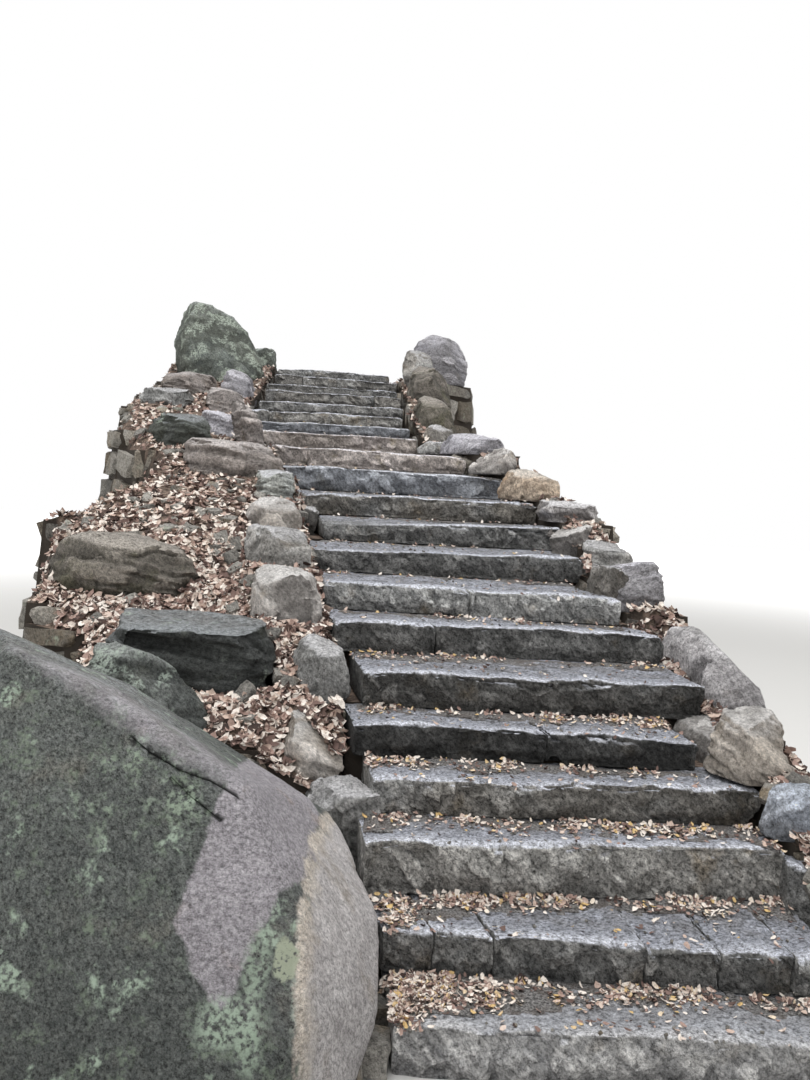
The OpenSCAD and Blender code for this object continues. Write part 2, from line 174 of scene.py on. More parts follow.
def looking_up(tree, start, end):
    """A mask of how far the surface looks up: the height of its normal goes from start to end."""
    normal = add(tree, "ShaderNodeNewGeometry").outputs["Normal"]
    height = add(tree, "ShaderNodeSeparateXYZ", {0: normal}).outputs["Z"]
    return add(tree, "ShaderNodeMapRange", {"Value": height, "From Min": start, "From Max": end},
               interpolation_type="SMOOTHSTEP")


def coat(tree, under, over, share, *masks):
    """Lays one colour over another, as thick as its share, where every mask holds."""
    for mask in masks:
        share = add(tree, "ShaderNodeMath", {0: mask, 1: share}, operation="MULTIPLY")
    return add(tree, "ShaderNodeMix", {"Factor": share, "A": under, "B": over}, data_type="RGBA")


def streaked(tree, place, turn, sizes, detail, rough):
    """Noise drawn out along a tilted direction: turn in radians, sizes in metres along its own axes."""
    drawn = add(tree, "ShaderNodeMapping", {"Vector": place, "Rotation": turn, "Scale": sizes},
                vector_type="TEXTURE")
    return add(tree, "ShaderNodeTexNoise", {"Vector": drawn, "Scale": 1.0, "Detail": detail, "Roughness": rough})


def shaded(tree, colour, mask, low, high):
    """Makes a colour darker or lighter: times low where the mask is 0, times high where it is 1."""
    strength = add(tree, "ShaderNodeMapRange", {"Value": mask, "To Min": low, "To Max": high})
    return add(tree, "ShaderNodeVectorMath", {"Vector": colour, "Scale": strength}, operation="SCALE")


# %% The recipe for natural stone
SLANT = math.radians(48)
# What a look holds: sizes in metres of the streaks, the mottle, the grains and the roughness, how far its tones
# spread, how strong the grains are, how strong the painted shade in hollows and the painted light on ridges are,
# and where the stain, the smudge, the painted highlight on the rim and the lichen start
PLAIN_LOOK = {"streak": (0.035, 0.016, 0.012), "turn": (0.0, SLANT, 0.0), "mottle": 0.09, "grain": 0.0065,
              "rough": 0.03, "bump": 0.022, "span": 0.75, "contrast": 0.7, "relief_shading": 1.0, "dirt": "#686460",
              "stain": "#867a68", "stain_from": 0.56, "smudge": 0.0, "rim": 0.3, "lichen": None, "lichen_from": 0.56}


def side_colour(tree, place, look):
    """The broken sides: two tones along the streaks, stains, darker at the foot with damp and painted shade, painted
    shade in the hollows and painted light on the ridges.
    """
    streaks = streaked(tree, place, look["turn"], look["streak"], 6, 0.7)
    mottle = add(tree, "ShaderNodeTexNoise",
                 {"Vector": place, "Scale": 1 / look["mottle"], "Detail": 7, "Roughness": 0.75})
    total = add(tree, "ShaderNodeMath", {0: streaks, 1: 0.8, 2: mottle}, operation="MULTIPLY_ADD")
    # The relief shifts the tone too: painted shade in its hollows, painted light on its ridges
    relief = add(tree, "ShaderNodeAttribute", attribute_name="relief").outputs["Fac"]
    relief_shading, half = look["relief_shading"], look["span"] / 2
    total = add(tree, "ShaderNodeMath", {0: relief, 1: 0.25 * relief_shading, 2: total}, operation="MULTIPLY_ADD")
    tone = add(tree, "ShaderNodeMapRange", {"Value": total, "From Min": 0.9 - half, "From Max": 0.9 + half})
    side = add(tree, "ShaderNodeMix", {"Factor": tone, "A": linear(look["dark"]), "B": linear(look["light"])},
               data_type="RGBA")
    side = coat(tree, side, linear(look["stain"]), 0.75,
                patches(tree, place, 0.22, look["stain_from"], look["stain_from"] + 0.16, detail=7))
    side = coat(tree, side, linear(look["stain"]), 0.5, share_of(tree, "warm", 0.0, 1.0),
                patches(tree, place, 0.5, 0.3, 0.55))
    # Darker towards the foot of each stone: painted shade, with damp and dirt there too
    side = shaded(tree, side, share_of(tree, "rise", 0.0, 0.5), 0.62, 1.0)
    # Painted shade in the hollows of the relief and painted light on its ridges
    side = shaded(tree, side, share_of(tree, "relief", -0.5, 0.4), 1 - 0.34 * relief_shading, 1 + 0.16 * relief_shading)
    level = add(tree, "ShaderNodeAttribute", attribute_name="tone").outputs["Fac"]
    return add(tree, "ShaderNodeVectorMath", {"Vector": side, "Scale": level}, operation="SCALE")


def worn_top_with_sky_tint(tree, place, look):
    """The worn top, pale from wear and on the slabs tinted with a painted reflection of the sky, dirtier away from
    its front edge, with a smudged pale band along that edge.
    """
    worn = coat(tree, linear(look["top"]), linear(look["dirt"]), 0.6,
                patches(tree, place, 0.12, 0.3, 0.66, detail=8), share_of(tree, "front", 0.02, 0.2))
    worn = coat(tree, worn, linear(look["dark"]), 0.6, patches(tree, place, 0.04, 0.48, 0.66, detail=7),
                share_of(tree, "front", -0.02, 0.22))
    return coat(tree, worn, linear(look["edge"]), look["smudge"], share_of(tree, "front", 0.10, 0.0),
                patches(tree, place, 0.2, 0.3, 0.58, detail=8))


def stone_colour(tree, place, look):
    """The colour of a natural stone from its look: its sides, its worn top, a painted highlight along its rims, and
    grains.
    """
    # The top takes the worn colour: pale from wear, and on the slabs bluish with a painted reflection of the sky
    body = coat(tree, side_colour(tree, place, look), worn_top_with_sky_tint(tree, place, look), 1.0,
                looking_up(tree, 0.5, 0.85), share_of(tree, "rise", 0.62, 0.86))
    # Painted highlight where a side turns into the top: a pale rim where the edge catches the light
    body = coat(tree, body, linear(look["edge"]), look["rim"], looking_up(tree, 0.2, 0.5),
                share_of(tree, "rise", 0.84, 0.96), patches(tree, place, 0.04, 0.3, 0.6),
                looking_up(tree, 0.998, 0.9))
    # Grains of a few millimetres in clusters of a few centimetres, drawn out along the streaks
    grain = look["grain"]
    speckle = streaked(tree, place, look["turn"], (3.4 * grain, 2.4 * grain, 2.4 * grain), 4, 0.95)
    speckle = add(tree, "ShaderNodeMapRange", {"Value": speckle, "From Min": 0.36, "From Max": 0.64})
    return shaded(tree, body, speckle, 1 - look["contrast"], 1 + look["contrast"])


# %% Fine roughness, lichen and a whole stone
def stone_bump(tree, shader, place, rough, depth, turn=(0.0, SLANT, 0.0)):
    """Roughness too fine for the mesh: ridges along the streaks, from rough metres down to a grain."""
    rugged = streaked(tree, place, turn, (1.7 * rough, rough, rough), 10, 0.78)
    bump = add(tree, "ShaderNodeBump", {"Strength": 1.0, "Distance": depth, "Height": rugged})
    tree.links.new(bump.outputs["Normal"], shader.inputs["Normal"])


def crusts(tree, place, colour, lichen, start, size=0.16, cover=0.75, soft=0.1):
    """Lichen: crusts about size metres across with frayed rims, spread over a colour. Soft ones fade out."""
    return coat(tree, colour, linear(lichen), cover, patches(tree, place, size, start, start + soft, detail=5),
                patches(tree, place, 0.016, 0.4, 0.58, detail=6))


def new_material(name):
    """A rough material, its tree and its shader."""
    material = bpy.data.materials.new(name)
    material.use_nodes = True
    shader = material.node_tree.nodes["Principled BSDF"]
    shader.inputs["Roughness"].default_value = 0.85
    shader.inputs["Specular IOR Level"].default_value = 0.3
    return material, material.node_tree, shader


def show_colour(tree, shader, colour):
    """Wires a colour to the shader."""
    tree.links.new(next(s for s in colour.outputs if s.enabled), shader.inputs["Base Color"])


def natural_stone(name, dark, light, top, edge, **other):
    """A stone with these tones on its dark and light sides, its worn top, and its worn edge, whose colour also paints
    the highlight along its rims.
    """
    look = {**PLAIN_LOOK, "dark": dark, "light": light, "top": top, "edge": edge, **other}
    material, tree, shader = new_material(name)
    place = own_place(tree)
    colour = stone_colour(tree, place, look)
    if look["lichen"]:
        colour = crusts(tree, place, colour, look["lichen"], look["lichen_from"])
    show_colour(tree, shader, colour)
    stone_bump(tree, shader, place, look["rough"], look["bump"], look["turn"])
    return material


# %% [markdown]
# ## The stones of this flight
#
# The slabs are one dark gneiss, with a few from a pinker or bluer bed: to the eye a rough grey with slanting
# streaks, pale where feet wear it. The edge rocks were picked up on the slope, so each has its own tone: warm
# grey, tan, orange, lavender grey, or green with lichen. The four codes are the stone's dark and light side, its
# worn top and its worn edge; the edge colour also serves as the painted highlight along the rims, and the bluish
# tint of the slabs' tops is a painted reflection of the sky.

# %% Materials of the slabs and rocks
hewn_gneiss = natural_stone("hewn_gneiss", "#56595a", "#cbcac7", "#a9acb6", "#dcdee6", smudge=0.9, rim=0.6,
                            contrast=0.9, span=1.1)
slate_gneiss = natural_stone("slate_gneiss", "#6c7076", "#b9bcc2", "#b1b5be", "#e3e5ec", smudge=0.9, rim=0.6,
                             stain="#7f7f7c", span=1.2)
pink_gneiss = natural_stone("pink_gneiss", "#7e7875", "#d3cac8", "#c3bfc2", "#e9e5e8", smudge=0.9, rim=0.6, span=1.0,
                            stain="#94886f")
grey_boulder = natural_stone("grey_boulder_gneiss", "#777876", "#cecdcb", "#c4c3c4", "#dad9da",
                             streak=(0.2, 0.06, 0.03), stain="#8f8578")
warm_boulder = natural_stone("warm_boulder_gneiss", "#827d79", "#d8d3ce", "#dbd8d5", "#e8e5e2",
                             streak=(0.1, 0.05, 0.03), stain="#a59886", contrast=0.5)
pale_boulder = natural_stone("pale_boulder_gneiss", "#7d7a7c", "#cfcccd", "#dcdadb", "#ebe9ea",
                             streak=(0.12, 0.06, 0.03), stain="#a19a92")
pink_boulder = natural_stone("pink_boulder_gneiss", "#6f6a67", "#b9b1ad", "#c5bebb", "#dcd6d3",
                             streak=(0.15, 0.06, 0.02), stain="#978a7d", turn=(0.0, math.radians(-14), 0.0))
blue_boulder = natural_stone("blue_grey_gneiss", "#7b818b", "#ccd2dd", "#b4bbc6", "#d3d9e2",
                             streak=(0.2, 0.06, 0.03), stain="#85837f")
orange_granite = natural_stone("orange_granite", "#7f7569", "#d9cbb9", "#e3dacf", "#eee6dc",
                               streak=(0.15, 0.06, 0.04), stain="#bfa184", stain_from=0.5)
pale_schist = natural_stone("pale_schist", "#6a6d6a", "#b7bab8", "#cccdd0", "#e8e9ec", streak=(0.3, 0.3, 0.016),
                            turn=(math.radians(-12), math.radians(8), 0.0), stain="#8b8a7c")
lavender_gneiss = natural_stone("lavender_gneiss", "#717076", "#bfbdc3", "#cfcdd4", "#e9e8ee",
                                streak=(0.35, 0.3, 0.02), turn=(0.0, math.radians(-20), 0.0), stain="#8a8785")
lichened_gneiss = natural_stone("lichened_gneiss", "#4b5150", "#9ba39d", "#a4aba5", "#b9c0b8",
                                streak=(0.15, 0.08, 0.04), lichen="#c4cfc0", lichen_from=0.5, stain="#77796c")
spotted_gneiss = natural_stone("spotted_gneiss", "#3f4343", "#8b8f8c", "#8b8f8c", "#a5aaa6",
                               streak=(0.15, 0.08, 0.04), lichen="#c3d0c3", lichen_from=0.53, stain="#6b6c60")
mossy_gneiss = natural_stone("mossy_gneiss", "#57534d", "#a59d94", "#aca59c", "#c3bdb4",
                             streak=(0.15, 0.08, 0.04), stain="#706d59", stain_from=0.5)
dark_gneiss = natural_stone("dark_gneiss", "#2e3130", "#7c7f7d", "#8f9395", "#b2b6b7",
                            streak=(0.3, 0.2, 0.02), turn=(0.0, math.radians(6), 0.0), stain="#5d6152",
                            lichen="#b9c5b6", lichen_from=0.57)
worn_gneiss = natural_stone("worn_gneiss", "#808184", "#cbc9c6", "#b3b5bb", "#d6d5d6", smudge=0.9, rim=0.3,
                            contrast=0.8, span=1.0, stain="#9a958e")
wall_stone = natural_stone("fieldstone", "#66645f", "#b1ada6", "#b5b1ab", "#c6c2bc", streak=(0.12, 0.1, 0.03),
                           stain="#8a7a62", lichen="#aab3a0", lichen_from=0.6)

# %% [markdown]
# ## The great boulder's skin
#
# The boulder at the foot shows four zones side by side: a dark green-grey face with small lichen clusters, a
# purplish fresh patch with a sharp left edge, a pale tan weathered ridge, and a pale grey side towards the steps.
# The zones follow the rock's own form, so they are masks in its own metres, made ragged with noise. One mask
# lies beside a line between two points, the other lies inside an ellipsoid.

# %% The great boulder's material
def past_line(tree, place, start, end, soft):
    """A mask that is 1 to the right of a line from start to end, two (across, height) points seen from the front."""
    across, up = end[0] - start[0], end[1] - start[1]
    length = math.hypot(across, up)
    way = (up / length, 0.0, -across / length)
    along = add(tree, "ShaderNodeVectorMath", {0: place, 1: way}, operation="DOT_PRODUCT").outputs["Value"]
    at = way[0] * start[0] + way[2] * start[1]
    return add(tree, "ShaderNodeMapRange", {"Value": along, "From Min": at - soft, "From Max": at + soft},
               interpolation_type="SMOOTHSTEP")


def near(tree, place, centre, radii, soft):
    """A mask that is 1 inside an ellipsoid and 0 outside it."""
    offset = add(tree, "ShaderNodeVectorMath", {0: place, 1: centre}, operation="SUBTRACT")
    scaled = add(tree, "ShaderNodeVectorMath", {0: offset, 1: radii}, operation="DIVIDE")
    length = add(tree, "ShaderNodeVectorMath", {0: scaled}, operation="LENGTH").outputs["Value"]
    return add(tree, "ShaderNodeMapRange", {"Value": length, "From Min": 1 + soft, "From Max": 1 - soft},
               interpolation_type="SMOOTHSTEP")


def wandering(tree, place, scale, reach, detail=8, rough=0.7):
    """A place pushed about by noise, which frays the rims of zones and bends straight lines."""
    wander = add(tree, "ShaderNodeTexNoise", {"Vector": place, "Scale": scale, "Detail": detail, "Roughness": rough})
    centred = add(tree, "ShaderNodeVectorMath", {0: wander.outputs["Color"], 1: (0.5, 0.5, 0.5)},
                  operation="SUBTRACT")
    return add(tree, "ShaderNodeVectorMath", {0: centred, 1: (reach, reach, reach), 2: place},
               operation="MULTIPLY_ADD")


BOULDER_LOOK = {**PLAIN_LOOK, "relief_shading": 0.25, "rim": 0.0, "grain": 0.0045, "contrast": 0.8, "mottle": 0.03,
                "rough": 0.02}
FACE_LOOK = {**BOULDER_LOOK, "dark": "#323737", "light": "#70736f", "top": "#868a8a", "edge": "#a2a5a2",
             "streak": (0.03, 0.02, 0.02), "stain": "#6c6a62", "contrast": 1.0}
FRESH_LOOK = {**BOULDER_LOOK, "dark": "#7a767b", "light": "#b8b4b8", "top": "#b3b0b4", "edge": "#bcb9bc",
              "streak": (0.008, 0.008, 0.06), "turn": (0.0, 0.0, 0.0), "stain": "#9c8b80", "contrast": 0.65}
SIDE_LOOK = {**BOULDER_LOOK, "dark": "#a29d9d", "light": "#e2dedd", "top": "#d2cecd", "edge": "#d8d5d3",
             "streak": (0.06, 0.05, 0.03), "stain": "#a39a90", "contrast": 0.6, "mottle": 0.05}
RIDGE_LOOK = {**BOULDER_LOOK, "dark": "#a49889", "light": "#efe7dd", "top": "#ddd4ca", "edge": "#e3dcd3",
              "streak": (0.012, 0.012, 0.12), "turn": (0.0, 0.0, 0.0), "stain": "#bfb2a6", "contrast": 0.6}


def boulder_skin():
    """The material with the four zones and the crusts of lichen at their places."""
    material, tree, shader = new_material("great_boulder_gneiss")
    true_place = add(tree, "ShaderNodeTexCoord").outputs["Object"]
    place = wandering(tree, true_place, 11.0, 0.08)
    close = wandering(tree, true_place, 7.0, 0.10)
    face, fresh, side, ridge = (stone_colour(tree, true_place, look)
                                for look in (FACE_LOOK, FRESH_LOOK, SIDE_LOOK, RIDGE_LOOK))
    # Lichen on the dark face: faint clusters, and denser ones high up beside the crack
    face = crusts(tree, true_place, face, "#8b9985", 0.53, size=0.09, cover=0.6, soft=0.16)
    face = crusts(tree, true_place, face, "#b0c1ae", 0.565, size=0.13, cover=0.8, soft=0.1)
    thick = crusts(tree, true_place, face, "#a3b39e", 0.49, size=0.08, cover=0.75, soft=0.16)
    face = coat(tree, face, thick, 1.0, near(tree, place, (-1.55, -0.75, 0.92), (0.24, 0.6, 0.13), 0.5))
    # The band along the top edge above the crack
    colour = coat(tree, face, fresh, 0.9, past_line(tree, place, (-1.03, 0.80), (-1.88, 1.22), 0.03),
                  patches(tree, true_place, 0.16, 0.3, 0.5))
    # The fresh patch, right of two lines, without the dark corner low at its right
    colour = coat(tree, colour, fresh, 1.0, past_line(tree, close, (-1.395, 0.60), (-1.31, 0.93), 0.008),
                  past_line(tree, close, (-1.25, 0.40), (-1.395, 0.60), 0.008),
                  past_line(tree, close, (-1.33, 0.46), (-1.21, 0.405), -0.008))
    dark_corner = past_line(tree, close, (-1.225, 0.40), (-1.095, 0.69), 0.008)
    colour = coat(tree, colour, face, 0.95, dark_corner, past_line(tree, close, (-1.2, 0.665), (-0.95, 0.655), 0.008),
                  past_line(tree, close, (-0.96, 0.10), (-1.02, 0.72), -0.02))
    # The ridge and the side
    colour = coat(tree, colour, linear("#aab3a8"), 0.7, patches(tree, true_place, 0.012, 0.4, 0.56),
                  near(tree, close, (-1.025, -0.95, 0.50), (0.012, 0.4, 0.15), 0.4))
    colour = coat(tree, colour, ridge, 0.95, past_line(tree, close, (-1.0, 0.10), (-1.05, 0.74), 0.008),
                  patches(tree, true_place, 0.07, 0.3, 0.5, detail=7))
    colour = coat(tree, colour, side, 1.0, past_line(tree, close, (-0.95, 0.10), (-1.015, 0.72), 0.02))
    # Crusts of lichen round the dark corner
    frayed = patches(tree, true_place, 0.018, 0.4, 0.58, detail=7)
    dense = patches(tree, true_place, 0.012, 0.34, 0.46)
    for code, cover, crust, spot, centre, radii, soft in (
            ("#a0b09e", 0.75, frayed, place, (-1.145, -0.96, 0.50), (0.034, 0.3, 0.085), 0.5),
            ("#a9b09a", 0.85, dense, close, (-1.062, -0.95, 0.515), (0.038, 0.3, 0.045), 0.15),
            ("#a5b5a3", 0.9, frayed, place, (-1.20, -1.07, 0.385), (0.095, 0.3, 0.055), 0.4),
            ("#9dad9b", 0.75, frayed, place, (-1.14, -1.08, 0.33), (0.04, 0.3, 0.05), 0.4)):
        colour = coat(tree, colour, linear(code), cover, crust, near(tree, spot, centre, radii, soft))
    show_colour(tree, shader, colour)
    stone_bump(tree, shader, true_place, 0.02, 0.012)
    return material


great_boulder_skin = boulder_skin()
print("stone materials", len([m for m in bpy.data.materials if m.use_nodes]))

# %% [markdown]
# ## Relief: how a split stone breaks
#
# A hammer takes flakes off a rock, and each flake leaves a small flat scar at its own tilt, with a low ledge
# where the next one starts. The relief below does that on a dense mesh: space is cut into cells, each cell gets
# a random tilt, and the surface is moved to that tilted plane. Noise roughens it, layers cut grooves along the
# bedding, and chips bite into the edges. The level says how much of it goes inwards: at 0.5 all of it does.

# %% Scars, grooves and chips
RELIEF = {"Depth": "Float", "Level": "Float", "Flake": "Float", "Stretch": "Vector", "Turn": "Vector",
          "Tops": "Float", "Ends": "Float", "Swell": "Float", "Layers": "Float", "Layer size": "Float",
          "Chips": "Float", "Shift": "Vector"}


def flake_scars(tree, place, size):
    """Random tilted planes, one to a cell of about size metres, as a number between about -0.5 and 0.5."""
    scaled = add(tree, "ShaderNodeVectorMath", {0: place, 1: size}, operation="DIVIDE")
    cells = add(tree, "ShaderNodeTexVoronoi", {"Vector": scaled, "Scale": 1.0}, feature="F1")
    offset = add(tree, "ShaderNodeVectorMath", {0: scaled, 1: cells.outputs["Position"]}, operation="SUBTRACT")
    tilt = add(tree, "ShaderNodeVectorMath", {0: cells.outputs["Color"], 1: (0.5, 0.5, 0.5)},
               operation="SUBTRACT")
    plane = add(tree, "ShaderNodeVectorMath", {0: offset, 1: tilt}, operation="DOT_PRODUCT").outputs["Value"]
    ledge = add(tree, "ShaderNodeSeparateXYZ", {0: tilt}).outputs["X"]
    return add(tree, "ShaderNodeMath", {0: ledge, 1: 0.45, 2: plane}, operation="MULTIPLY_ADD")


def scars(tree, place, turned, given):
    """The height of large and small scars and of the roughness between them, from about -0.5 to 0.5."""
    stretched = add(tree, "ShaderNodeVectorMath", {0: turned, 1: given["Stretch"]}, operation="MULTIPLY")
    smaller = add(tree, "ShaderNodeMath", {0: given["Flake"], 1: 0.36}, operation="MULTIPLY")
    total = flake_scars(tree, stretched, given["Flake"])
    small = flake_scars(tree, stretched, smaller)
    broad = add(tree, "ShaderNodeTexNoise", {"Vector": place, "Scale": 5.0, "Detail": 3.0, "Roughness": 0.6})
    fine = add(tree, "ShaderNodeTexNoise", {"Vector": place, "Scale": 24.0, "Detail": 3.0, "Roughness": 0.7})
    for rough, share in ((small, 0.42), (broad, 0.7), (fine, 0.6)):
        total = add(tree, "ShaderNodeMath", {0: rough, 1: share, 2: total}, operation="MULTIPLY_ADD")
    return add(tree, "ShaderNodeMapRange", {"Value": total, "From Min": 0.15, "From Max": 1.15,
                                            "To Min": -0.5, "To Max": 0.5})


def grooves_along(tree, turned, size):
    """A mask of grooves along the bedding, whose layers are about size metres thick."""
    per_metre = add(tree, "ShaderNodeMath", {0: 1.0, 1: size}, operation="DIVIDE")
    flat = add(tree, "ShaderNodeCombineXYZ", {"X": 1.2, "Y": 1.2, "Z": per_metre})
    sheets = add(tree, "ShaderNodeVectorMath", {0: turned, 1: flat}, operation="MULTIPLY")
    bands = add(tree, "ShaderNodeTexNoise", {"Vector": sheets, "Scale": 1.0, "Detail": 2.0})
    return add(tree, "ShaderNodeMapRange", {"Value": bands, "From Min": 0.56, "From Max": 0.44},
               interpolation_type="SMOOTHSTEP")


def away_from_joints(tree, axes, ends):
    """1 on a stone's front and top, and the share given by ends where it looks sideways, at a joint."""
    across = add(tree, "ShaderNodeMath", {0: axes["X"]}, operation="ABSOLUTE")
    return add(tree, "ShaderNodeMapRange", {"Value": across, "From Min": 0.6, "From Max": 0.9,
                                            "To Min": 1.0, "To Max": ends})


def depth_share(tree, axes, tops, joint_share):
    """Sides take the whole depth, tops and the ends at a joint a share of it, and beds none."""
    side = add(tree, "ShaderNodeMapRange", {"Value": axes["Z"], "From Min": 0.85, "From Max": 0.45,
                                            "To Min": tops, "To Max": 1.0})
    bed = add(tree, "ShaderNodeMapRange", {"Value": axes["Z"], "From Min": -0.85, "From Max": -0.5})
    weight = add(tree, "ShaderNodeMath", {0: side, 1: bed}, operation="MULTIPLY")
    return add(tree, "ShaderNodeMath", {0: weight, 1: joint_share}, operation="MULTIPLY")


def edge_chips(tree, place, axes, joint_share):
    """A mask of bites where a side turns into a top."""
    rising = add(tree, "ShaderNodeMapRange", {"Value": axes["Z"], "From Min": 0.1, "From Max": 0.5})
    falling = add(tree, "ShaderNodeMapRange", {"Value": axes["Z"], "From Min": 0.98, "From Max": 0.8})
    spalls = add(tree, "ShaderNodeTexNoise", {"Vector": place, "Scale": 6.5, "Detail": 2.0})
    bites = add(tree, "ShaderNodeMapRange", {"Value": spalls, "From Min": 0.5, "From Max": 0.68})
    edge = add(tree, "ShaderNodeMath", {0: rising, 1: falling}, operation="MULTIPLY")
    bite = add(tree, "ShaderNodeMath", {0: edge, 1: bites}, operation="MULTIPLY")
    return add(tree, "ShaderNodeMath", {0: bite, 1: joint_share}, operation="MULTIPLY")


# %% The relief as geometry nodes
def make_relief():
    """The node group that moves a stone's surface to its scars, layers and chips."""
    tree = bpy.data.node_groups.new("stone relief", "GeometryNodeTree")
    tree.interface.new_socket("Geometry", in_out="INPUT", socket_type="NodeSocketGeometry")
    for name, kind in RELIEF.items():
        tree.interface.new_socket(name, in_out="INPUT", socket_type="NodeSocket" + kind)
    tree.interface.new_socket("Geometry", in_out="OUTPUT", socket_type="NodeSocketGeometry")
    given = add(tree, "NodeGroupInput").outputs
    normal = add(tree, "GeometryNodeInputNormal")
    axes = add(tree, "ShaderNodeSeparateXYZ", {0: normal}).outputs
    place = add(tree, "ShaderNodeVectorMath", {0: add(tree, "GeometryNodeInputPosition"), 1: given["Shift"]},
                operation="ADD")
    bent = wandering(tree, place, 6.0, 0.07, detail=2, rough=0.5)
    turned = add(tree, "ShaderNodeVectorRotate", {"Vector": bent, "Rotation": given["Turn"]},
                 rotation_type="EULER_XYZ")
    # How far the surface goes in: the scars, then grooves, a slow swell, and chips at the edges
    relief = scars(tree, place, turned, given)
    inwards = add(tree, "ShaderNodeMath", {0: given["Level"], 1: relief}, operation="SUBTRACT")
    cut = add(tree, "ShaderNodeMath", {0: inwards, 1: given["Depth"]}, operation="MULTIPLY")
    grooves = grooves_along(tree, turned, given["Layer size"])
    cut = add(tree, "ShaderNodeMath", {0: grooves, 1: given["Layers"], 2: cut}, operation="MULTIPLY_ADD")
    waves = add(tree, "ShaderNodeTexNoise", {"Vector": place, "Scale": 2.4, "Detail": 1.0})
    wave = add(tree, "ShaderNodeMapRange", {"Value": waves, "From Min": 0.3, "From Max": 0.7, "To Min": -1.0})
    cut = add(tree, "ShaderNodeMath", {0: wave, 1: given["Swell"], 2: cut}, operation="MULTIPLY_ADD")
    joint_share = away_from_joints(tree, axes, given["Ends"])
    weight = depth_share(tree, axes, given["Tops"], joint_share)
    cut = add(tree, "ShaderNodeMath", {0: cut, 1: weight}, operation="MULTIPLY")
    chips = edge_chips(tree, place, axes, joint_share)
    cut = add(tree, "ShaderNodeMath", {0: chips, 1: given["Chips"], 2: cut}, operation="MULTIPLY_ADD")
    depth = add(tree, "ShaderNodeMath", {0: cut, 1: -1.0}, operation="MULTIPLY")
    offset = add(tree, "ShaderNodeVectorMath", {"Vector": normal, "Scale": depth}, operation="SCALE")
    # The relief, less the grooves, is kept for the material, which paints shade into its hollows and light onto its
    # ridges
    shade = add(tree, "ShaderNodeMath", {0: grooves, 1: -0.4, 2: relief}, operation="MULTIPLY_ADD")
    stored = add(tree, "GeometryNodeStoreNamedAttribute",
                 {"Geometry": given["Geometry"], "Name": "relief", "Value": shade}, data_type="FLOAT", domain="POINT")
    moved = add(tree, "GeometryNodeSetPosition", {"Geometry": stored, "Offset": offset})
    add(tree, "NodeGroupOutput", {"Geometry": moved})
    return tree


relief_tree = make_relief()
print("boxes in the relief", len(relief_tree.nodes))


def add_relief(piece, values):
    """Puts the relief on a mesh as a modifier with these values."""
    modifier = piece.modifiers.new("relief", "NODES")
    modifier.node_group = relief_tree
    for item in relief_tree.interface.items_tree:
        if item.in_out == "INPUT" and item.name in values:
            modifier[item.identifier] = values[item.name]


# %% [markdown]
# ## From a CAD solid to a stone
#
# The CAD solid is right in size and place but has flat faces and few points. A copy of it is merged, remeshed into
# small even squares, softened a little, and given its relief. A decimate at the end takes points away where the
# surface is flat, so that the hidden beds cost almost nothing.

# %% Three kinds of relief
MERGE = 0.0002
SMOOTH_ANGLE = math.radians(50)
HEWN = {"Depth": 0.026, "Level": 0.5, "Flake": 0.09, "Stretch": (0.8, 1.0, 1.25), "Turn": (0.0, -SLANT, 0.0),
        "Tops": 0.3, "Ends": 0.1, "Swell": 0.022, "Layers": 0.0, "Layer size": 0.03, "Chips": 0.02}
BOULDER = {"Depth": 0.03, "Level": 0.1, "Flake": 0.2, "Stretch": (1.0, 1.0, 1.0), "Turn": (0.4, 0.3, 0.2),
           "Tops": 0.9, "Ends": 1.0, "Swell": 0.0, "Layers": 0.0, "Layer size": 0.05, "Chips": 0.008}
LAYERED = {"Depth": 0.026, "Level": 0.1, "Flake": 0.2, "Stretch": (0.7, 0.7, 1.8), "Turn": (0.12, -0.15, 0.0),
           "Tops": 0.7, "Ends": 1.0, "Swell": 0.0, "Layers": 0.014, "Layer size": 0.05, "Chips": 0.008}


# %% Take a CAD node apart
def solids_of(node, axis=0):
    """Copies a CAD node and returns its solids as separate merged objects, in their order along x or y."""
    piece = new_object(node + "_copy", nodes[node].data.copy())
    piece.data.materials.clear()
    with whole_in_edit_mode(piece):
        bpy.ops.mesh.remove_doubles(threshold=MERGE)
        bpy.ops.mesh.separate(type="LOOSE")
    return sorted(bpy.context.selected_objects, key=lambda o: min(v.co[axis] for v in o.data.vertices))


def points_of(mesh):
    """The points of a mesh as rows of x, y and z."""
    flat = np.empty(3 * len(mesh.vertices), np.float32)
    mesh.vertices.foreach_get("co", flat)
    return flat.reshape(-1, 3)


def mark_stone(piece, tone, warm, shift):
    """Stores what the materials read: a shift, two tones, the height in the stone and the way to its front edge."""
    points = points_of(piece.data)
    low, high = points[:, 2].min(), points[:, 2].max()
    rise = (points[:, 2] - low) / (high - low)
    slots = ((points[:, 0] - points[:, 0].min()) / 0.04).astype(int)
    edge = np.full(slots.max() + 1, 99.0)
    upper = rise > 0.6
    np.minimum.at(edge, slots[upper], points[upper, 1])
    keep_values(piece, "shift", np.tile(np.array(shift, np.float32), (len(points), 1)))
    keep_values(piece, "tone", np.full(len(points), tone, np.float32))
    keep_values(piece, "warm", np.full(len(points), warm, np.float32))
    keep_values(piece, "rise", rise)
    keep_values(piece, "front", np.clip(points[:, 1] - edge[slots], 0.0, 9.0))


# %% Cut faces and wedges
def split_face(piece, way, bite):
    """Cuts one flat face that looks this way. The bite is how far in, as a share of the width there."""
    reach = points_of(piece.data) @ np.array(way)
    at = way * float(reach.max() - (reach.max() - reach.min()) * bite)
    with whole_in_edit_mode(piece):
        bpy.ops.mesh.bisect(plane_co=at, plane_no=way, use_fill=True, clear_outer=True)


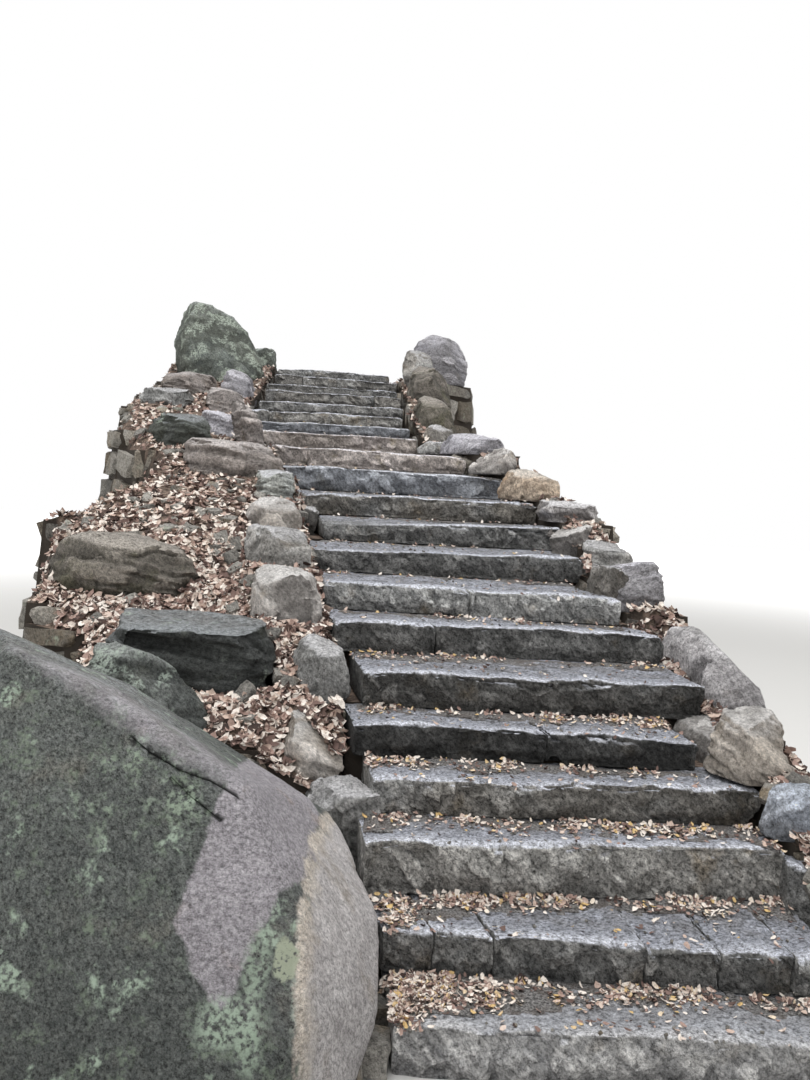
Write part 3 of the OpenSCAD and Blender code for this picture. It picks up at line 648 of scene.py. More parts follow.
def split_off(piece, draw, cuts, bites):
    """Cuts flat faces at random tilts, as a rock has that was split."""
    for _ in range(cuts):
        way = Vector((draw.uniform(-1, 1), draw.uniform(-1, 0.4), draw.uniform(0.0, 1))).normalized()
        split_face(piece, way, draw.uniform(*bites))


def carve(piece, place, size, turn):
    """Takes a wedge out of a stone: a slab of this size, turned by these radians, at this place."""
    bpy.ops.mesh.primitive_cube_add(size=1.0, location=place, rotation=turn, scale=size)
    wedge = bpy.context.object
    cut = piece.modifiers.new("carved", "BOOLEAN")
    cut.operation = "DIFFERENCE"
    cut.object = wedge
    apply_modifiers(piece)
    bpy.data.objects.remove(wedge)


# %% Turn one solid into a stone
def rough_stone(piece, voxel, triangles, relief, seed, soften=2, tone=None, warm=None):
    """Remeshes one solid, gives it its relief, and thins it to about this many triangles."""
    draw = random.Random(seed)
    shift = [draw.uniform(-20, 20) for _ in range(3)]
    remesh = piece.modifiers.new("even squares", "REMESH")
    remesh.mode = "VOXEL"
    remesh.voxel_size = voxel
    smooth = piece.modifiers.new("softened", "SMOOTH")
    smooth.iterations = soften
    add_relief(piece, {**relief, "Shift": shift})
    apply_modifiers(piece)
    made = 2 * len(piece.data.polygons)
    if made > triangles:
        thin = piece.modifiers.new("thinned", "DECIMATE")
        thin.ratio = triangles / made
        apply_modifiers(piece)
    tone = draw.uniform(0.8, 1.2) if tone is None else tone
    warm = draw.random() if warm is None else warm
    mark_stone(piece, tone, warm, shift)
    return piece


# %% Join stones into a finished piece
def finish_piece(parts, name, finishes, slot, replaced=()):
    """Joins the parts into one piece that stands for its CAD nodes. The finishes go to the parts in turn."""
    for k, part in enumerate(parts):
        part.data.materials.clear()
        part.data.materials.append(finishes[k % len(finishes)])
    pick(*parts)
    if len(parts) > 1:
        bpy.ops.object.join()
    piece = bpy.context.object
    piece.name = piece.data.name = name
    bpy.ops.object.shade_smooth_by_angle(angle=SMOOTH_ANGLE)
    if replaced:
        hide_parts(*replaced)
    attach(piece, "root")
    return piece


def joined_copies(name, copies, finish, slot):
    """One piece from placed copies. Each is its points, its faces, its own shift, a tone and how brown it is."""
    counts = [len(points) for points, *_ in copies]
    points = np.concatenate([points for points, *_ in copies])
    # Nothing reaches past the box of the CAD
    points = np.clip(points, np.array(cad_low) + 0.001, np.array(cad_high) - 0.001)
    polygons, first = [], 0
    for (_, faces, *_), count in zip(copies, counts):
        polygons += [tuple(first + i for i in face) for face in faces]
        first += count
    mesh = bpy.data.meshes.new(name)
    mesh.from_pydata(points.tolist(), [], polygons)
    piece = new_object(name, mesh)
    for key, place in (("shift", 2), ("tone", 3), ("warm", 4)):
        keep_values(piece, key, np.repeat([copy[place] for copy in copies], counts, axis=0))
    keep_values(piece, "rise", np.full(len(points), 0.6))
    finish_piece([piece], name, [finish], slot)
    print(name, len(copies), "of them,", triangles_of(piece), "triangles")


def triangles_of(piece):
    """How many triangles a piece has."""
    return sum(len(p.vertices) - 2 for p in piece.data.polygons)


# %% [markdown]
# ## The slabs
#
# Each slab was split off a ledge and left rock-faced: the riser is hewn, the front edge is worn round, and only
# the middle of the tread is smooth. Some have a notch, a slanting end or a hole at a joint, which a wedge takes
# out before the relief goes on. The nearest steps get the smallest squares, because they fill most of the picture.

# %% Stones, tones and wedges of the steps
STEPS = sorted(name for name in nodes if name.startswith("step_"))
NEAR_STEPS = 6
SLAB_STONES = {"step_01": worn_gneiss, "step_12": slate_gneiss, "step_13": pink_gneiss, "step_14": pink_gneiss,
               "step_15": slate_gneiss}
# The nearest steps and the others: the size of the squares, and the triangles of a slab of the full width
FINE, COARSE = (0.010, 20000), (0.014, 7500)
FULL_WIDTH = 1.8
LONGER = 0.0015
# How light and how brown each step is, from the lowest up
STEP_TONES = [(1.32, 0.2), (0.8, 0.2), (1.62, 0.4), (0.95, 0.6), (0.27, 0.1), (0.45, 0.4), (0.56, 0.2), (1.45, 0.1),
              (0.75, 0.2), (0.8, 0.2), (0.9, 0.9), (1.1, 0.0), (1.3, 0.4), (1.15, 0.5), (0.9, 0.0), (1.0, 0.5),
              (0.8, 0.3), (1.0, 0.6), (0.8, 0.4), (1.0, 0.5), (1.1, 0.3)]
# How much lighter a step gets for every metre to the right
TONE_DRIFT = {"step_04": -0.5, "step_01": -0.1, "step_07": -0.15, "step_11": -0.15}
# Wedges: place, size in metres and turns in degrees
CARVED = {
    "step_02": [((0.02, -0.37, 0.345), (0.075, 0.09, 0.035), (0, 24, 30)),
                ((-0.14, -0.335, 0.352), (0.10, 0.022, 0.03), (12, 12, -20)),
                ((0.04, -0.315, 0.352), (0.09, 0.03, 0.03), (-14, 20, -28))],
    "step_04": [((0.80, 0.22, 0.60), (0.14, 0.5, 0.5), (0, 34, -12))],
    "step_05": [((-0.08, 0.50, 0.73), (0.05, 0.14, 0.05), (0, 45, 0))],
    "step_07": [((-0.60, 1.18, 1.22), (0.10, 0.12, 0.06), (0, -38, 0))],
    "step_12": [((-1.16, 3.80, 1.99), (0.17, 0.06, 0.12), (16, 8, 0))],
}

# %% Shape the twenty-one steps
for index, node in enumerate(STEPS):
    voxel, triangles = FINE if index < NEAR_STEPS else COARSE
    tone, warm = STEP_TONES[index]
    parts = []
    for k, solid in enumerate(solids_of(node)):
        share = (solid.dimensions.x + 0.1) / FULL_WIDTH
        middle = points_of(solid.data)[:, 0].mean()
        for vertex in solid.data.vertices:
            # A little longer at each end, so that the relief doesn't open the joints
            vertex.co.x += LONGER if vertex.co.x > middle else -LONGER
        for spot, size, turn in CARVED.get(node, ()):
            carve(solid, spot, size, as_radians(turn))
        # Every other block of a step is a little lighter
        level = tone * (1 + 0.12 * (k % 2))
        part = rough_stone(solid, voxel, triangles * share, HEWN, 100 * index + k, tone=level, warm=warm)
        across = points_of(part.data)[:, 0] - middle
        keep_values(part, "tone", level * (1 + TONE_DRIFT.get(node, 0.0) * across))
        parts.append(part)
    finish_piece(parts, node + "_slab", [SLAB_STONES.get(node, hewn_gneiss)], "step_stone", [node])

# %% [markdown]
# ## The edge rocks
#
# The rocks beside the flight were rolled into place and not cut. Most are broken blocks, so flat faces are split
# off them before the relief: the large ones as they look, then a few small ones at random tilts. The list says
# for each node what it is made of, its relief, its slot, how many small faces are split off it, and how light
# each of its rocks is.

# %% What the rocks of both edges are
ROCKS = {
    "right_foot_rocks": ([grey_boulder], BOULDER, "boulder_stone", 3, []),
    "right_corner_rock": ([blue_boulder], BOULDER, "boulder_stone", 1, [1.35]),
    "right_tan_boulder": ([warm_boulder], {**LAYERED, "Turn": (0.0, -0.6, 0.3)}, "boulder_stone", 1, [1.3]),
    "right_long_boulder": ([pale_boulder], {**BOULDER, "Flake": 0.4, "Depth": 0.018}, "boulder_stone", 1, [1.05]),
    "right_low_blocks": ([lavender_gneiss, grey_boulder], LAYERED, "boulder_stone", 1, [1.5, 1.4]),
    "right_flat_top_rock": ([pale_boulder], LAYERED, "pale_rock", 2, [1.2]),
    "right_orange_boulder": ([orange_granite], BOULDER, "orange_rock", 2, [1.2]),
    "right_ridged_rocks": ([warm_boulder, lavender_gneiss], BOULDER, "pale_rock", 2, [1.3, 1.4]),
    "right_small_rocks": ([grey_boulder], BOULDER, "boulder_stone", 3, []),
    "right_upper_rocks": ([mossy_gneiss, mossy_gneiss, grey_boulder], BOULDER, "boulder_stone", 3, []),
    "right_head_rock": ([lavender_gneiss], {**LAYERED, "Depth": 0.02}, "pale_rock", 2, [1.3]),
    "left_leaning_slab": ([warm_boulder], {**LAYERED, "Depth": 0.012}, "pale_rock", 0, [1.5]),
    "left_round_rocks": ([grey_boulder, warm_boulder], BOULDER, "boulder_stone", 2, [1.25, 1.1, 1.0, 1.2]),
    "left_layered_rocks": ([pale_schist, pink_boulder], LAYERED, "pale_rock", 3, [1.6, 1.0]),
    "left_upper_blocks": ([pink_boulder, lavender_gneiss], LAYERED, "boulder_stone", 3, [1.5, 1.6, 1.4, 1.4]),
    "left_head_boulder": ([lichened_gneiss], BOULDER, "boulder_stone", 2, [0.85]),
    "bank_lower_rocks": ([spotted_gneiss, dark_gneiss, mossy_gneiss], LAYERED, "boulder_stone", 0, [0.9, 0.6, 0.9]),
    "bank_upper_rocks": ([dark_gneiss, grey_boulder, pink_boulder], LAYERED, "boulder_stone", 3, [0.65, 1.0, 1.0]),
}
# The large faces of each rock of a node: the way each looks and its bite. The other rocks take a blocky set.
FACES = {"left_leaning_slab": [[((0.55, -0.35, 0.75), 0.10), ((-0.75, -0.6, -0.1), 0.16), ((0.3, -0.9, 0.1), 0.1)]],
         "bank_lower_rocks": [[((0.5, -0.6, 0.5), 0.15), ((-0.3, -0.5, 0.8), 0.08)],
                              [((0.02, -0.12, 1.0), 0.13), ((0.05, -1.0, 0.25), 0.1), ((0.8, -0.5, 0.5), 0.1),
                               ((-0.5, -0.4, 0.9), 0.04)],
                              [((0.3, -0.8, 0.5), 0.05), ((-0.5, -0.7, 0.5), 0.05)]],
         "right_corner_rock": [[((-0.5, -0.75, 0.45), 0.14), ((0.2, -0.35, 0.92), 0.1), ((-0.85, -0.3, 0.2), 0.06)]],
         "right_tan_boulder": [[((-0.8, -0.5, 0.3), 0.14), ((0.3, -0.65, 0.7), 0.14), ((-0.2, -0.15, 0.97), 0.08),
                                ((0.85, -0.4, 0.35), 0.1), ((0.0, -1.0, -0.2), 0.08)]],
         "right_long_boulder": [[((-0.35, -0.6, 0.72), 0.13), ((0.65, -0.1, 0.75), 0.1), ((-0.8, -0.3, 0.5), 0.08),
                                 ((-0.1, -0.2, 0.97), 0.06)]],
         "right_low_blocks": [[((-0.25, -0.72, 0.65), 0.18), ((0.8, -0.3, 0.5), 0.12), ((-0.8, -0.2, 0.55), 0.08)],
                              [((0.0, -1.0, 0.1), 0.12), ((0.05, -0.2, 0.98), 0.1), ((-0.8, -0.5, 0.2), 0.08)]],
         "right_flat_top_rock": [[((-0.1, -0.35, 0.93), 0.16), ((-0.2, -0.95, -0.1), 0.14),
                                  ((0.8, -0.5, 0.2), 0.12)]],
         "right_orange_boulder": [[((0.05, -0.35, 0.93), 0.15), ((-0.7, -0.7, 0.1), 0.17),
                                   ((0.65, -0.7, 0.35), 0.13)]],
         "right_ridged_rocks": [[((-0.55, -0.45, 0.7), 0.17), ((0.6, -0.75, 0.25), 0.18)],
                                [((-0.25, -0.45, 0.86), 0.14), ((0.5, -0.85, 0.1), 0.16), ((-0.9, -0.3, 0.3), 0.1)]],
         "left_head_boulder": [[((0.45, -0.7, 0.55), 0.16), ((-0.8, -0.4, 0.4), 0.1)]]}
BLOCKY = [[((0.05, -0.35, 0.93), 0.11), ((-0.55, -0.8, 0.2), 0.13), ((0.6, -0.75, 0.2), 0.13),
           ((0.4, 0.2, 0.9), 0.05)],
          [((-0.35, -0.4, 0.85), 0.12), ((0.1, -1.0, 0.1), 0.12), ((0.75, -0.4, 0.5), 0.13)],
          [((0.35, -0.5, 0.8), 0.12), ((-0.7, -0.6, 0.35), 0.13), ((0.3, -0.95, -0.05), 0.1)]]
UNDERCUT = {("bank_lower_rocks", 1): ((-1.6, 0.68, 1.06), (0.9, 0.2, 0.2), (-14, 4, 0))}

# %% Shape them
for index, (node, (finishes, relief, slot, cuts, tones)) in enumerate(ROCKS.items()):
    parts = []
    for k, solid in enumerate(solids_of(node, axis=1)):
        size = max(solid.dimensions)
        own = FACES.get(node, [])[k:k + 1]
        for way, bite in (own[0] if own else BLOCKY[(index + k) % len(BLOCKY)]):
            split_face(solid, Vector(way).normalized(), bite)
        split_off(solid, random.Random(700 + 10 * index + k), cuts, (0.01, 0.06))
        if (node, k) in UNDERCUT:
            spot, wedge, turn = UNDERCUT[node, k]
            carve(solid, spot, wedge, as_radians(turn))
        # Larger rocks get larger squares and more triangles
        parts.append(rough_stone(solid, 0.010 + 0.006 * size, 2800 + 3200 * size, relief, 5000 + 100 * index + k,
                                 soften=1, tone=tones[k] if k < len(tones) else None))
    finish_piece(parts, node + "_stone", finishes, slot, [node])

# %% [markdown]
# ## The great boulder
#
# The boulder was shaped by ice and weather, so it keeps its smooth form and gets only broad, shallow scars. Two
# cracks run down from its top edge: thin wedges taken out along the line where the rock has begun to part.

# %% Shape the great boulder and its cracks
def crack(piece, start, end, width, depth):
    """Takes a thin wedge out of a stone along a line on its surface."""
    start, end = Vector(start), Vector(end)
    _, _, out, _ = piece.closest_point_on_mesh((start + end) / 2)
    along = (end - start).normalized()
    across = along.cross(out).normalized()
    turn = Matrix((along, across.cross(along), across)).transposed().to_euler()
    carve(piece, (start + end) / 2, ((end - start).length + 0.004, depth, width), turn)


CRACKS = [[(-1.62, -0.64, 1.07), (-1.549, -0.672, 1.032), (-1.449, -0.687, 0.984), (-1.347, -0.683, 0.95),
           (-1.265, -0.692, 0.909)],
          [(-1.47, -0.705, 0.965), (-1.40, -0.73, 0.915), (-1.305, -0.75, 0.853)]]
great = solids_of("great_boulder")[0]
great = rough_stone(great, 0.018, 40000, {**BOULDER, "Flake": 1.1, "Depth": 0.011}, 9000, soften=12, tone=1.0)
for line in CRACKS:
    for k, (start, end) in enumerate(zip(line, line[1:])):
        # Widest at its second stretch
        crack(great, start, end, 0.0032 - 0.0006 * abs(k - 1), 0.016)
finish_piece([great], "great_boulder_stone", [great_boulder_skin], "boulder_stone", ["great_boulder"])

# %% [markdown]
# ## Wedged stones
#
# Gaps at the ends of some slabs are packed with a block each: the first stands between the leaning slab and the
# great boulder, and the others carry a slab's face on to the edge rocks. Each is a cube with a few corners split
# off. The list gives its centre, size, turn, stone and tone.

# %% Pack the gaps
# A tone under 1 darkens a block; the low tones of the blocks high up the flight are painted shade, so that they sink
# back into their shaded gaps
WEDGED = {"packing_stone_left": ((-0.99, 0.29, 0.48), (0.28, 0.22, 0.36), (6, 0, 14), grey_boulder, 1.0),
          "packing_stone_right": ((0.875, 0.055, 0.34), (0.21, 0.13, 0.37), (0, 0, -4), hewn_gneiss, 1.0),
          "packing_stone_fifth": ((0.71, 0.78, 0.77), (0.27, 0.34, 0.22), (8, -12, 16), warm_boulder, 0.8),
          "packing_stone_ninth": ((0.37, 1.80, 1.38), (0.16, 0.22, 0.24), (0, 14, 22), grey_boulder, 0.7),
          "packing_stone_tenth": ((0.29, 2.50, 1.555), (0.24, 0.26, 0.24), (10, -16, -22), warm_boulder, 0.55),
          "packing_stone_eleventh": ((-1.50, 3.12, 1.60), (0.16, 0.26, 0.24), (0, 10, 18), grey_boulder, 0.6),
          "packing_stone_thirteenth": ((-0.34, 4.42, 2.06), (0.20, 0.24, 0.18), (12, 14, -24), mossy_gneiss, 0.7)}
for index, (name, (centre, size, turn, finish, tone)) in enumerate(WEDGED.items()):
    bpy.ops.mesh.primitive_cube_add(size=1.0, location=centre, rotation=as_radians(turn), scale=size)
    block = bpy.context.object
    bpy.ops.object.transform_apply(location=True, rotation=True, scale=True)
    split_off(block, random.Random(80 + index), 4, (0.02, 0.1))
    rough_stone(block, 0.009, 3000, {**BOULDER, "Depth": 0.02, "Flake": 0.1}, 9100 + index, soften=1, tone=tone)
    finish_piece([block], name, [finish], "rubble")

# %% [markdown]
# ## The fieldstone walls
#
# The outer sides are dry-laid fieldstone: flattish stones in rough courses, bedded in earth, and set close. The
# CAD walls stay as the earth-filled joints, and the stones stand a few centimetres proud of them. Every plain
# face of a wall is read as an outline of lowest and highest points along its length, the courses follow the same
# levels on all of them, and each course is filled with stones of random length. The stones are copies of a few
# softened cubes, so each costs only about a hundred triangles.

# %% Stone shapes for the walls
def stone_shapes(count, seed, cuts=2):
    """Unit stones: cubes cut fine, pushed about at random and rounded."""
    shapes = []
    for k in range(count):
        bpy.ops.mesh.primitive_cube_add(size=1.0)
        stone = bpy.context.object
        with whole_in_edit_mode(stone):
            bpy.ops.mesh.subdivide(number_cuts=cuts)
            bpy.ops.transform.vertex_random(offset=0.16, uniform=0.7, normal=0.0, seed=seed + k)
            bpy.ops.mesh.vertices_smooth(factor=0.42, repeat=1)
        points = points_of(stone.data)
        low, high = points.min(axis=0), points.max(axis=0)
        shapes.append(((points - low) / (high - low) - 0.5, [tuple(p.vertices) for p in stone.data.polygons]))
        bpy.data.objects.remove(stone)
    return shapes


# %% The courses
WALL_NODES = ("kerb_wall", "bank_wall", "right_wall", "back_wall")
COURSE_HEIGHTS, STONE_LENGTHS, STONE_DEPTH = (0.16, 0.36), (0.26, 0.74), 0.16
LEAST_HEIGHT, LEAST_LENGTH, PAST_CORNER = 0.07, 0.05, 0.035
FACE_STEP, ABOVE_WALLS = 0.02, 4.0
draw = random.Random(41)
COURSES = [0.0]
while COURSES[-1] < ABOVE_WALLS:
    COURSES.append(COURSES[-1] + draw.uniform(*COURSE_HEIGHTS))
print("courses", len(COURSES) - 1)


# %% Read the faces of a wall
def wall_faces(node):
    """The plain upright faces of a wall: a start point, a direction, a way out, and its outline."""
    copy = new_object("wall_copy", nodes[node].data.copy())
    with whole_in_edit_mode(copy):
        bpy.ops.mesh.remove_doubles(threshold=MERGE)
        bpy.ops.mesh.dissolve_limited(angle_limit=math.radians(0.6))
    faces = []
    for polygon in copy.data.polygons:
        normal = polygon.normal.copy()
        if abs(normal.z) > 0.5 or polygon.area < 0.02:
            continue
        along = Vector((0, 0, 1)).cross(normal).normalized()
        corners = [copy.data.vertices[i].co.copy() for i in polygon.vertices]
        flat = [(c.dot(along), c.z) for c in corners]
        faces.append((corners[0], along, normal, flat))
    bpy.data.objects.remove(copy)
    return faces


def outline(flat):
    """The lowest and highest point of a face at even steps along it."""
    start, end = min(u for u, v in flat), max(u for u, v in flat)
    steps = np.arange(start + FACE_STEP / 2, end, FACE_STEP)
    low, high = np.full(len(steps), 99.0), np.full(len(steps), -99.0)
    for (u0, v0), (u1, v1) in zip(flat, flat[1:] + flat[:1]):
        if abs(u1 - u0) < 1e-9:
            continue
        inside = (steps >= min(u0, u1)) & (steps <= max(u0, u1))
        cut = v0 + (v1 - v0) * (steps - u0) / (u1 - u0)
        low = np.where(inside, np.minimum(low, cut), low)
        high = np.where(inside, np.maximum(high, cut), high)
    return steps, low, high


# %% Divide a face into stones
def runs_of(values):
    """Where equal neighbours start and end in a row of numbers."""
    cuts = [0] + [i for i in range(1, len(values)) if abs(values[i] - values[i - 1]) > 1e-4] + [len(values)]
    return list(zip(cuts, cuts[1:]))


def in_courses(steps, low, high):
    """Splits a face into the places of single stones: from, to, bottom and top."""
    for bottom, top in zip(COURSES, COURSES[1:]):
        base = np.maximum(bottom, low)
        # What would be left above a course is taken into it, and a sloping top goes down in small steps
        last = high < top + LEAST_HEIGHT
        crown = np.where(last, high, top)
        sloping = last & (np.abs(np.gradient(high)) > 0.001)
        crown = np.where(sloping, np.floor(high / 0.06) * 0.06 + 0.02, crown)
        crown = np.where(crown - base < LEAST_HEIGHT, -1.0, crown)
        for a, b in runs_of(np.round(crown, 3)):
            if crown[a] < 0:
                continue
            # At the ends of a face the stones reach a little past the corner
            start = steps[a] - (PAST_CORNER if a == 0 else FACE_STEP / 2)
            end = steps[b - 1] + (PAST_CORNER if b == len(steps) else FACE_STEP / 2)
            count = max(1, round((end - start) / draw.uniform(*STONE_LENGTHS)))
            cuts = [start] + [start + (end - start) * (k + draw.uniform(-0.32, 0.32)) / count
                              for k in range(1, count)] + [end]
            for u0, u1 in zip(cuts, cuts[1:]):
                if u1 - u0 > LEAST_LENGTH:
                    yield u0, u1, float(base[a]), float(crown[a])


# %% Lay the wall stones
fixed = {n: BVHTree.FromPolygons([v.co for v in nodes[n].data.vertices],
                                 [tuple(p.vertices) for p in nodes[n].data.polygons]) for n in nodes}


def is_free(point, normal):
    """Whether nothing stands close in front of a place on a wall."""
    return all(tree.ray_cast(point + normal * 0.004, normal, 0.05)[0] is None for tree in fixed.values())


shapes = stone_shapes(12, 7)
for node in WALL_NODES:
    laid = []
    for corner, along, normal, flat in wall_faces(node):
        for u0, u1, bottom, top in in_courses(*outline(flat)):
            middle_u, middle_z = (u0 + u1) / 2, (bottom + top) / 2
            # The point of the face at this place along it and this height
            up_slope = Vector((0, 0, 1)) - normal * normal.z
            up_slope = up_slope / up_slope.z
            centre = corner + along * (middle_u - corner.dot(along)) + up_slope * (middle_z - corner.z)
            # A long face bends a little, so the stone goes to where its wall really is
            seat = fixed[node].ray_cast(centre + normal * 0.15, -normal, 0.3)[0]
            centre = centre if seat is None else seat
            if not is_free(centre, normal):
                continue
            shape, faces = shapes[draw.randrange(len(shapes))]
            proud = draw.uniform(0.02, 0.07)
            gap = draw.uniform(-0.004, 0.02)
            size = np.array([u1 - u0 - gap, STONE_DEPTH, (top - bottom - gap) * draw.uniform(0.92, 1.05)])
            tilt = Matrix.Rotation(draw.uniform(-0.11, 0.11), 3, normal)
            frame_rows = np.array([tilt @ along, normal, tilt @ up_slope.normalized()])
            turn = draw.choice((-1, 1))
            placed = (shape * np.array([turn, turn, 1]) * size) @ frame_rows
            placed = placed + np.array(centre + normal * (proud - STONE_DEPTH / 2))
            shift = [draw.uniform(-20, 20) for _ in range(3)]
            laid.append((placed, faces, shift, draw.uniform(0.45, 1.45), draw.random()))
    joined_copies(node + "_stones", laid, wall_stone, "wall_stone")

# %% The earth behind and between the wall stones
# Damp earth with rotted leaves: brown lumps with a few pale crumbs. Where it stands upright, in the gaps between the
# stones, it is plain and dark: painted shade.
earth, tree, shader = new_material("earth_and_leaf_mould")
place = own_place(tree)
lumps = add(tree, "ShaderNodeTexNoise", {"Vector": place, "Scale": 26.0, "Detail": 8, "Roughness": 0.72})
mould = add(tree, "ShaderNodeMapRange", {"Value": lumps, "From Min": 0.35, "From Max": 0.68},
            interpolation_type="SMOOTHSTEP")
colour = add(tree, "ShaderNodeMix", {"Factor": mould, "A": linear("#4a403a"), "B": linear("#9c8778")},
             data_type="RGBA")
crumbs = add(tree, "ShaderNodeTexVoronoi", {"Vector": place, "Scale": 60.0})
flecks = add(tree, "ShaderNodeMapRange", {"Value": crumbs.outputs["Distance"], "From Min": 0.35, "From Max": 0.2})
colour = coat(tree, colour, linear("#b9a48f"), 0.6, flecks, patches(tree, place, 0.09, 0.4, 0.6))
# Upright faces: a plain dark colour, painted shade in the gaps between the stones
colour = coat(tree, linear("#453e37"), colour, 1.0, looking_up(tree, 0.2, 0.75))
show_colour(tree, shader, colour)
stone_bump(tree, shader, place, 0.04, 0.03)
for node in (*WALL_NODES, "rubble_core"):
    nodes[node].data.materials.clear()
    nodes[node].data.materials.append(earth)

# %% [markdown]
# ## Earth between the edge rocks
#
# A dry-laid edge isn't left open: earth, small stones and rotted leaves fill it from ledge to ledge, so that the
# ground beside the treads rises in a slope and not in steps. Looking straight down on the CAD gives a height for
# every place. Between the fronts of two ledges the fill rises evenly, it falls off towards the outer side of the
# wall, and on the treads a thin wedge of dirt gathers under the next riser.

# %% Look down on the CAD
CELL, ABOVE = 0.03, 9.0
# What lies at a place: a step by its number, another stone, a bulge of a riser, or -1 for nothing
NO_STEP, BULGE = 100, 200
cad_points, cad_faces, face_node = [], [], []
for name in nodes:
    first = len(cad_points)
    mesh = nodes[name].data
    cad_points += [v.co.copy() for v in mesh.vertices]
    cad_faces += [tuple(first + i for i in p.vertices) for p in mesh.polygons]
    face_node += [name] * len(mesh.polygons)
whole = BVHTree.FromPolygons(cad_points, cad_faces)
wall_only = BVHTree.FromPolygons(cad_points, [f for f, n in zip(cad_faces, face_node) if n in WALL_NODES])
xs = np.arange(cad_low[0], cad_high[0] + CELL, CELL)
ys = np.arange(cad_low[1], cad_high[1] + CELL, CELL)
DOWN, UPHILL = Vector((0, 0, -1)), Vector((0, 1, 0))
surface = np.full((len(xs), len(ys)), np.nan)
wall_top = np.full_like(surface, np.nan)
steep = np.zeros(surface.shape, bool)
kind = np.full(surface.shape, -1)
behind = np.full(surface.shape, 9.0)
for i, x in enumerate(xs):
    for j, y in enumerate(ys):
        hit, _, face, _ = whole.ray_cast(Vector((x, y, ABOVE)), DOWN)
        if hit is None:
            continue
        surface[i, j] = hit.z
        name = face_node[face]
        if name.startswith("step_"):
            kind[i, j] = STEPS.index(name)
            # The way to the next riser, seen from just above the tread
            wall, _, _, away = whole.ray_cast(Vector((x, y, hit.z + 0.04)), UPHILL, 0.7)
            if wall is not None:
                behind[i, j] = away
        else:
            kind[i, j] = NO_STEP
        hit, normal, _, _ = wall_only.ray_cast(Vector((x, y, ABOVE)), DOWN)
        if hit is not None:
            wall_top[i, j] = hit.z
            steep[i, j] = abs(normal.z) < 0.5
# Bulges of a riser aren't tread
for step in range(len(STEPS)):
    level = np.median(surface[kind == step])
    kind[(kind == step) & (surface < level - 0.03)] = BULGE
print("places looked at", surface.size, "on treads", int(((kind >= 0) & (kind < NO_STEP)).sum()))


# %% Heights of the earth
def lumps_at(x, y, size, seed):
    """A smooth random height between about -1 and 1, with lumps of about size metres."""
    return noise_at(Vector((x / size, y / size, seed)))


def spread_out(mask, times_over):
    """Grows a mask by one place on each side, a number of times."""
    for _ in range(times_over):
        grown = mask.copy()
        grown[1:] |= mask[:-1]
        grown[:-1] |= mask[1:]
        grown[:, 1:] |= mask[:, :-1]
        grown[:, :-1] |= mask[:, 1:]
        mask = grown
    return mask


# %% How far each place is from the outer edge
# The leaning outer faces of the walls count as outside
outside = (kind < 0) | steep
to_edge = np.zeros(surface.shape)
ring = outside.copy()
for k in range(1, 12):
    grown = spread_out(ring, 1)
    to_edge[grown & ~ring] = k * CELL
    ring = grown
to_edge[~ring] = 12 * CELL


# %% The fill from ledge to ledge
def soft_step(value, start, end):
    """Goes smoothly from 0 at start to 1 at end."""
    share = np.clip((value - start) / (end - start), 0, 1)
    return share * share * (3 - 2 * share)


# How far the fill stands over the slope, and how wide it falls off at its edge
FILL_OVER, FILL_FALL = 0.02, 0.13
earth_top = np.full_like(surface, np.nan)
for i, x in enumerate(xs):
    row = np.where(steep[i], np.nan, wall_top[i])
    known = np.nonzero(~np.isnan(row))[0]
    if len(known) < 2:
        continue
    for start, end in runs_of(known - np.arange(len(known))):
        part = known[start:end]
        tops = row[part]
        fronts = [0] + [k for k in range(1, len(part)) if tops[k] > tops[k - 1] + 0.01]
        slope = np.interp(np.arange(len(part)), fronts + [len(part)], list(tops[fronts]) + [tops[-1]])
        bumps = np.array([lumps_at(x, ys[j], 0.35, 3) * 0.03 + lumps_at(x, ys[j], 0.1, 5) * 0.012 for j in part])
        rise = np.maximum(slope - tops, 0) + FILL_OVER + bumps
        share = soft_step(to_edge[i, part], 0.02, FILL_FALL)
        earth_top[i, part] = tops + rise * share - 0.02 * (1 - share)

# The fill also slopes sideways where two walls have their ledges at different places
known = ~np.isnan(earth_top)
ledges = earth_top.copy()
for _ in range(2):
    total, count = np.zeros(surface.shape), np.zeros(surface.shape)
    for across in range(-3, 4):
        for uphill in range(-2, 3):
            total += np.roll(np.where(known, earth_top, 0), (across, uphill), (0, 1))
            count += np.roll(known, (across, uphill), (0, 1))
    earth_top = np.where(known, total / np.maximum(count, 1), np.nan)
earth_top = ledges + np.fmax(earth_top - ledges, 0) * soft_step(to_edge, 0.03, 0.24)

# %% Dirt on the treads
# How wide it lies on each step, more on the lower ones and at their left ends
BAND = [0.075, 0.07, 0.06, 0.055, 0.06, 0.045, 0.035, 0.03] + [0.025] * 14
tread_dirt = np.full_like(surface, np.nan)
for i, x in enumerate(xs):
    for j in np.nonzero((kind[i] >= 0) & (kind[i] < NO_STEP))[0]:
        step = kind[i, j]
        left = xs[np.nonzero(kind[:, j] == step)[0][0]]
        corner = math.exp(-(x - left) / 0.22) * (3.0 if step < 2 else 0.8 if step < 6 else 0.2)
        wide = BAND[step] * (0.9 + 1.1 * lumps_at(x, ys[j], 0.3, 11) + corner)
        tread_dirt[i, j] = 0.08 * (wide - behind[i, j]) + 0.003 * lumps_at(x, ys[j], 0.05, 13)
tread_dirt = np.clip(tread_dirt, -0.012, 0.010)
on_tread = ~np.isnan(tread_dirt)
open_tread = on_tread & (tread_dirt > -0.004)


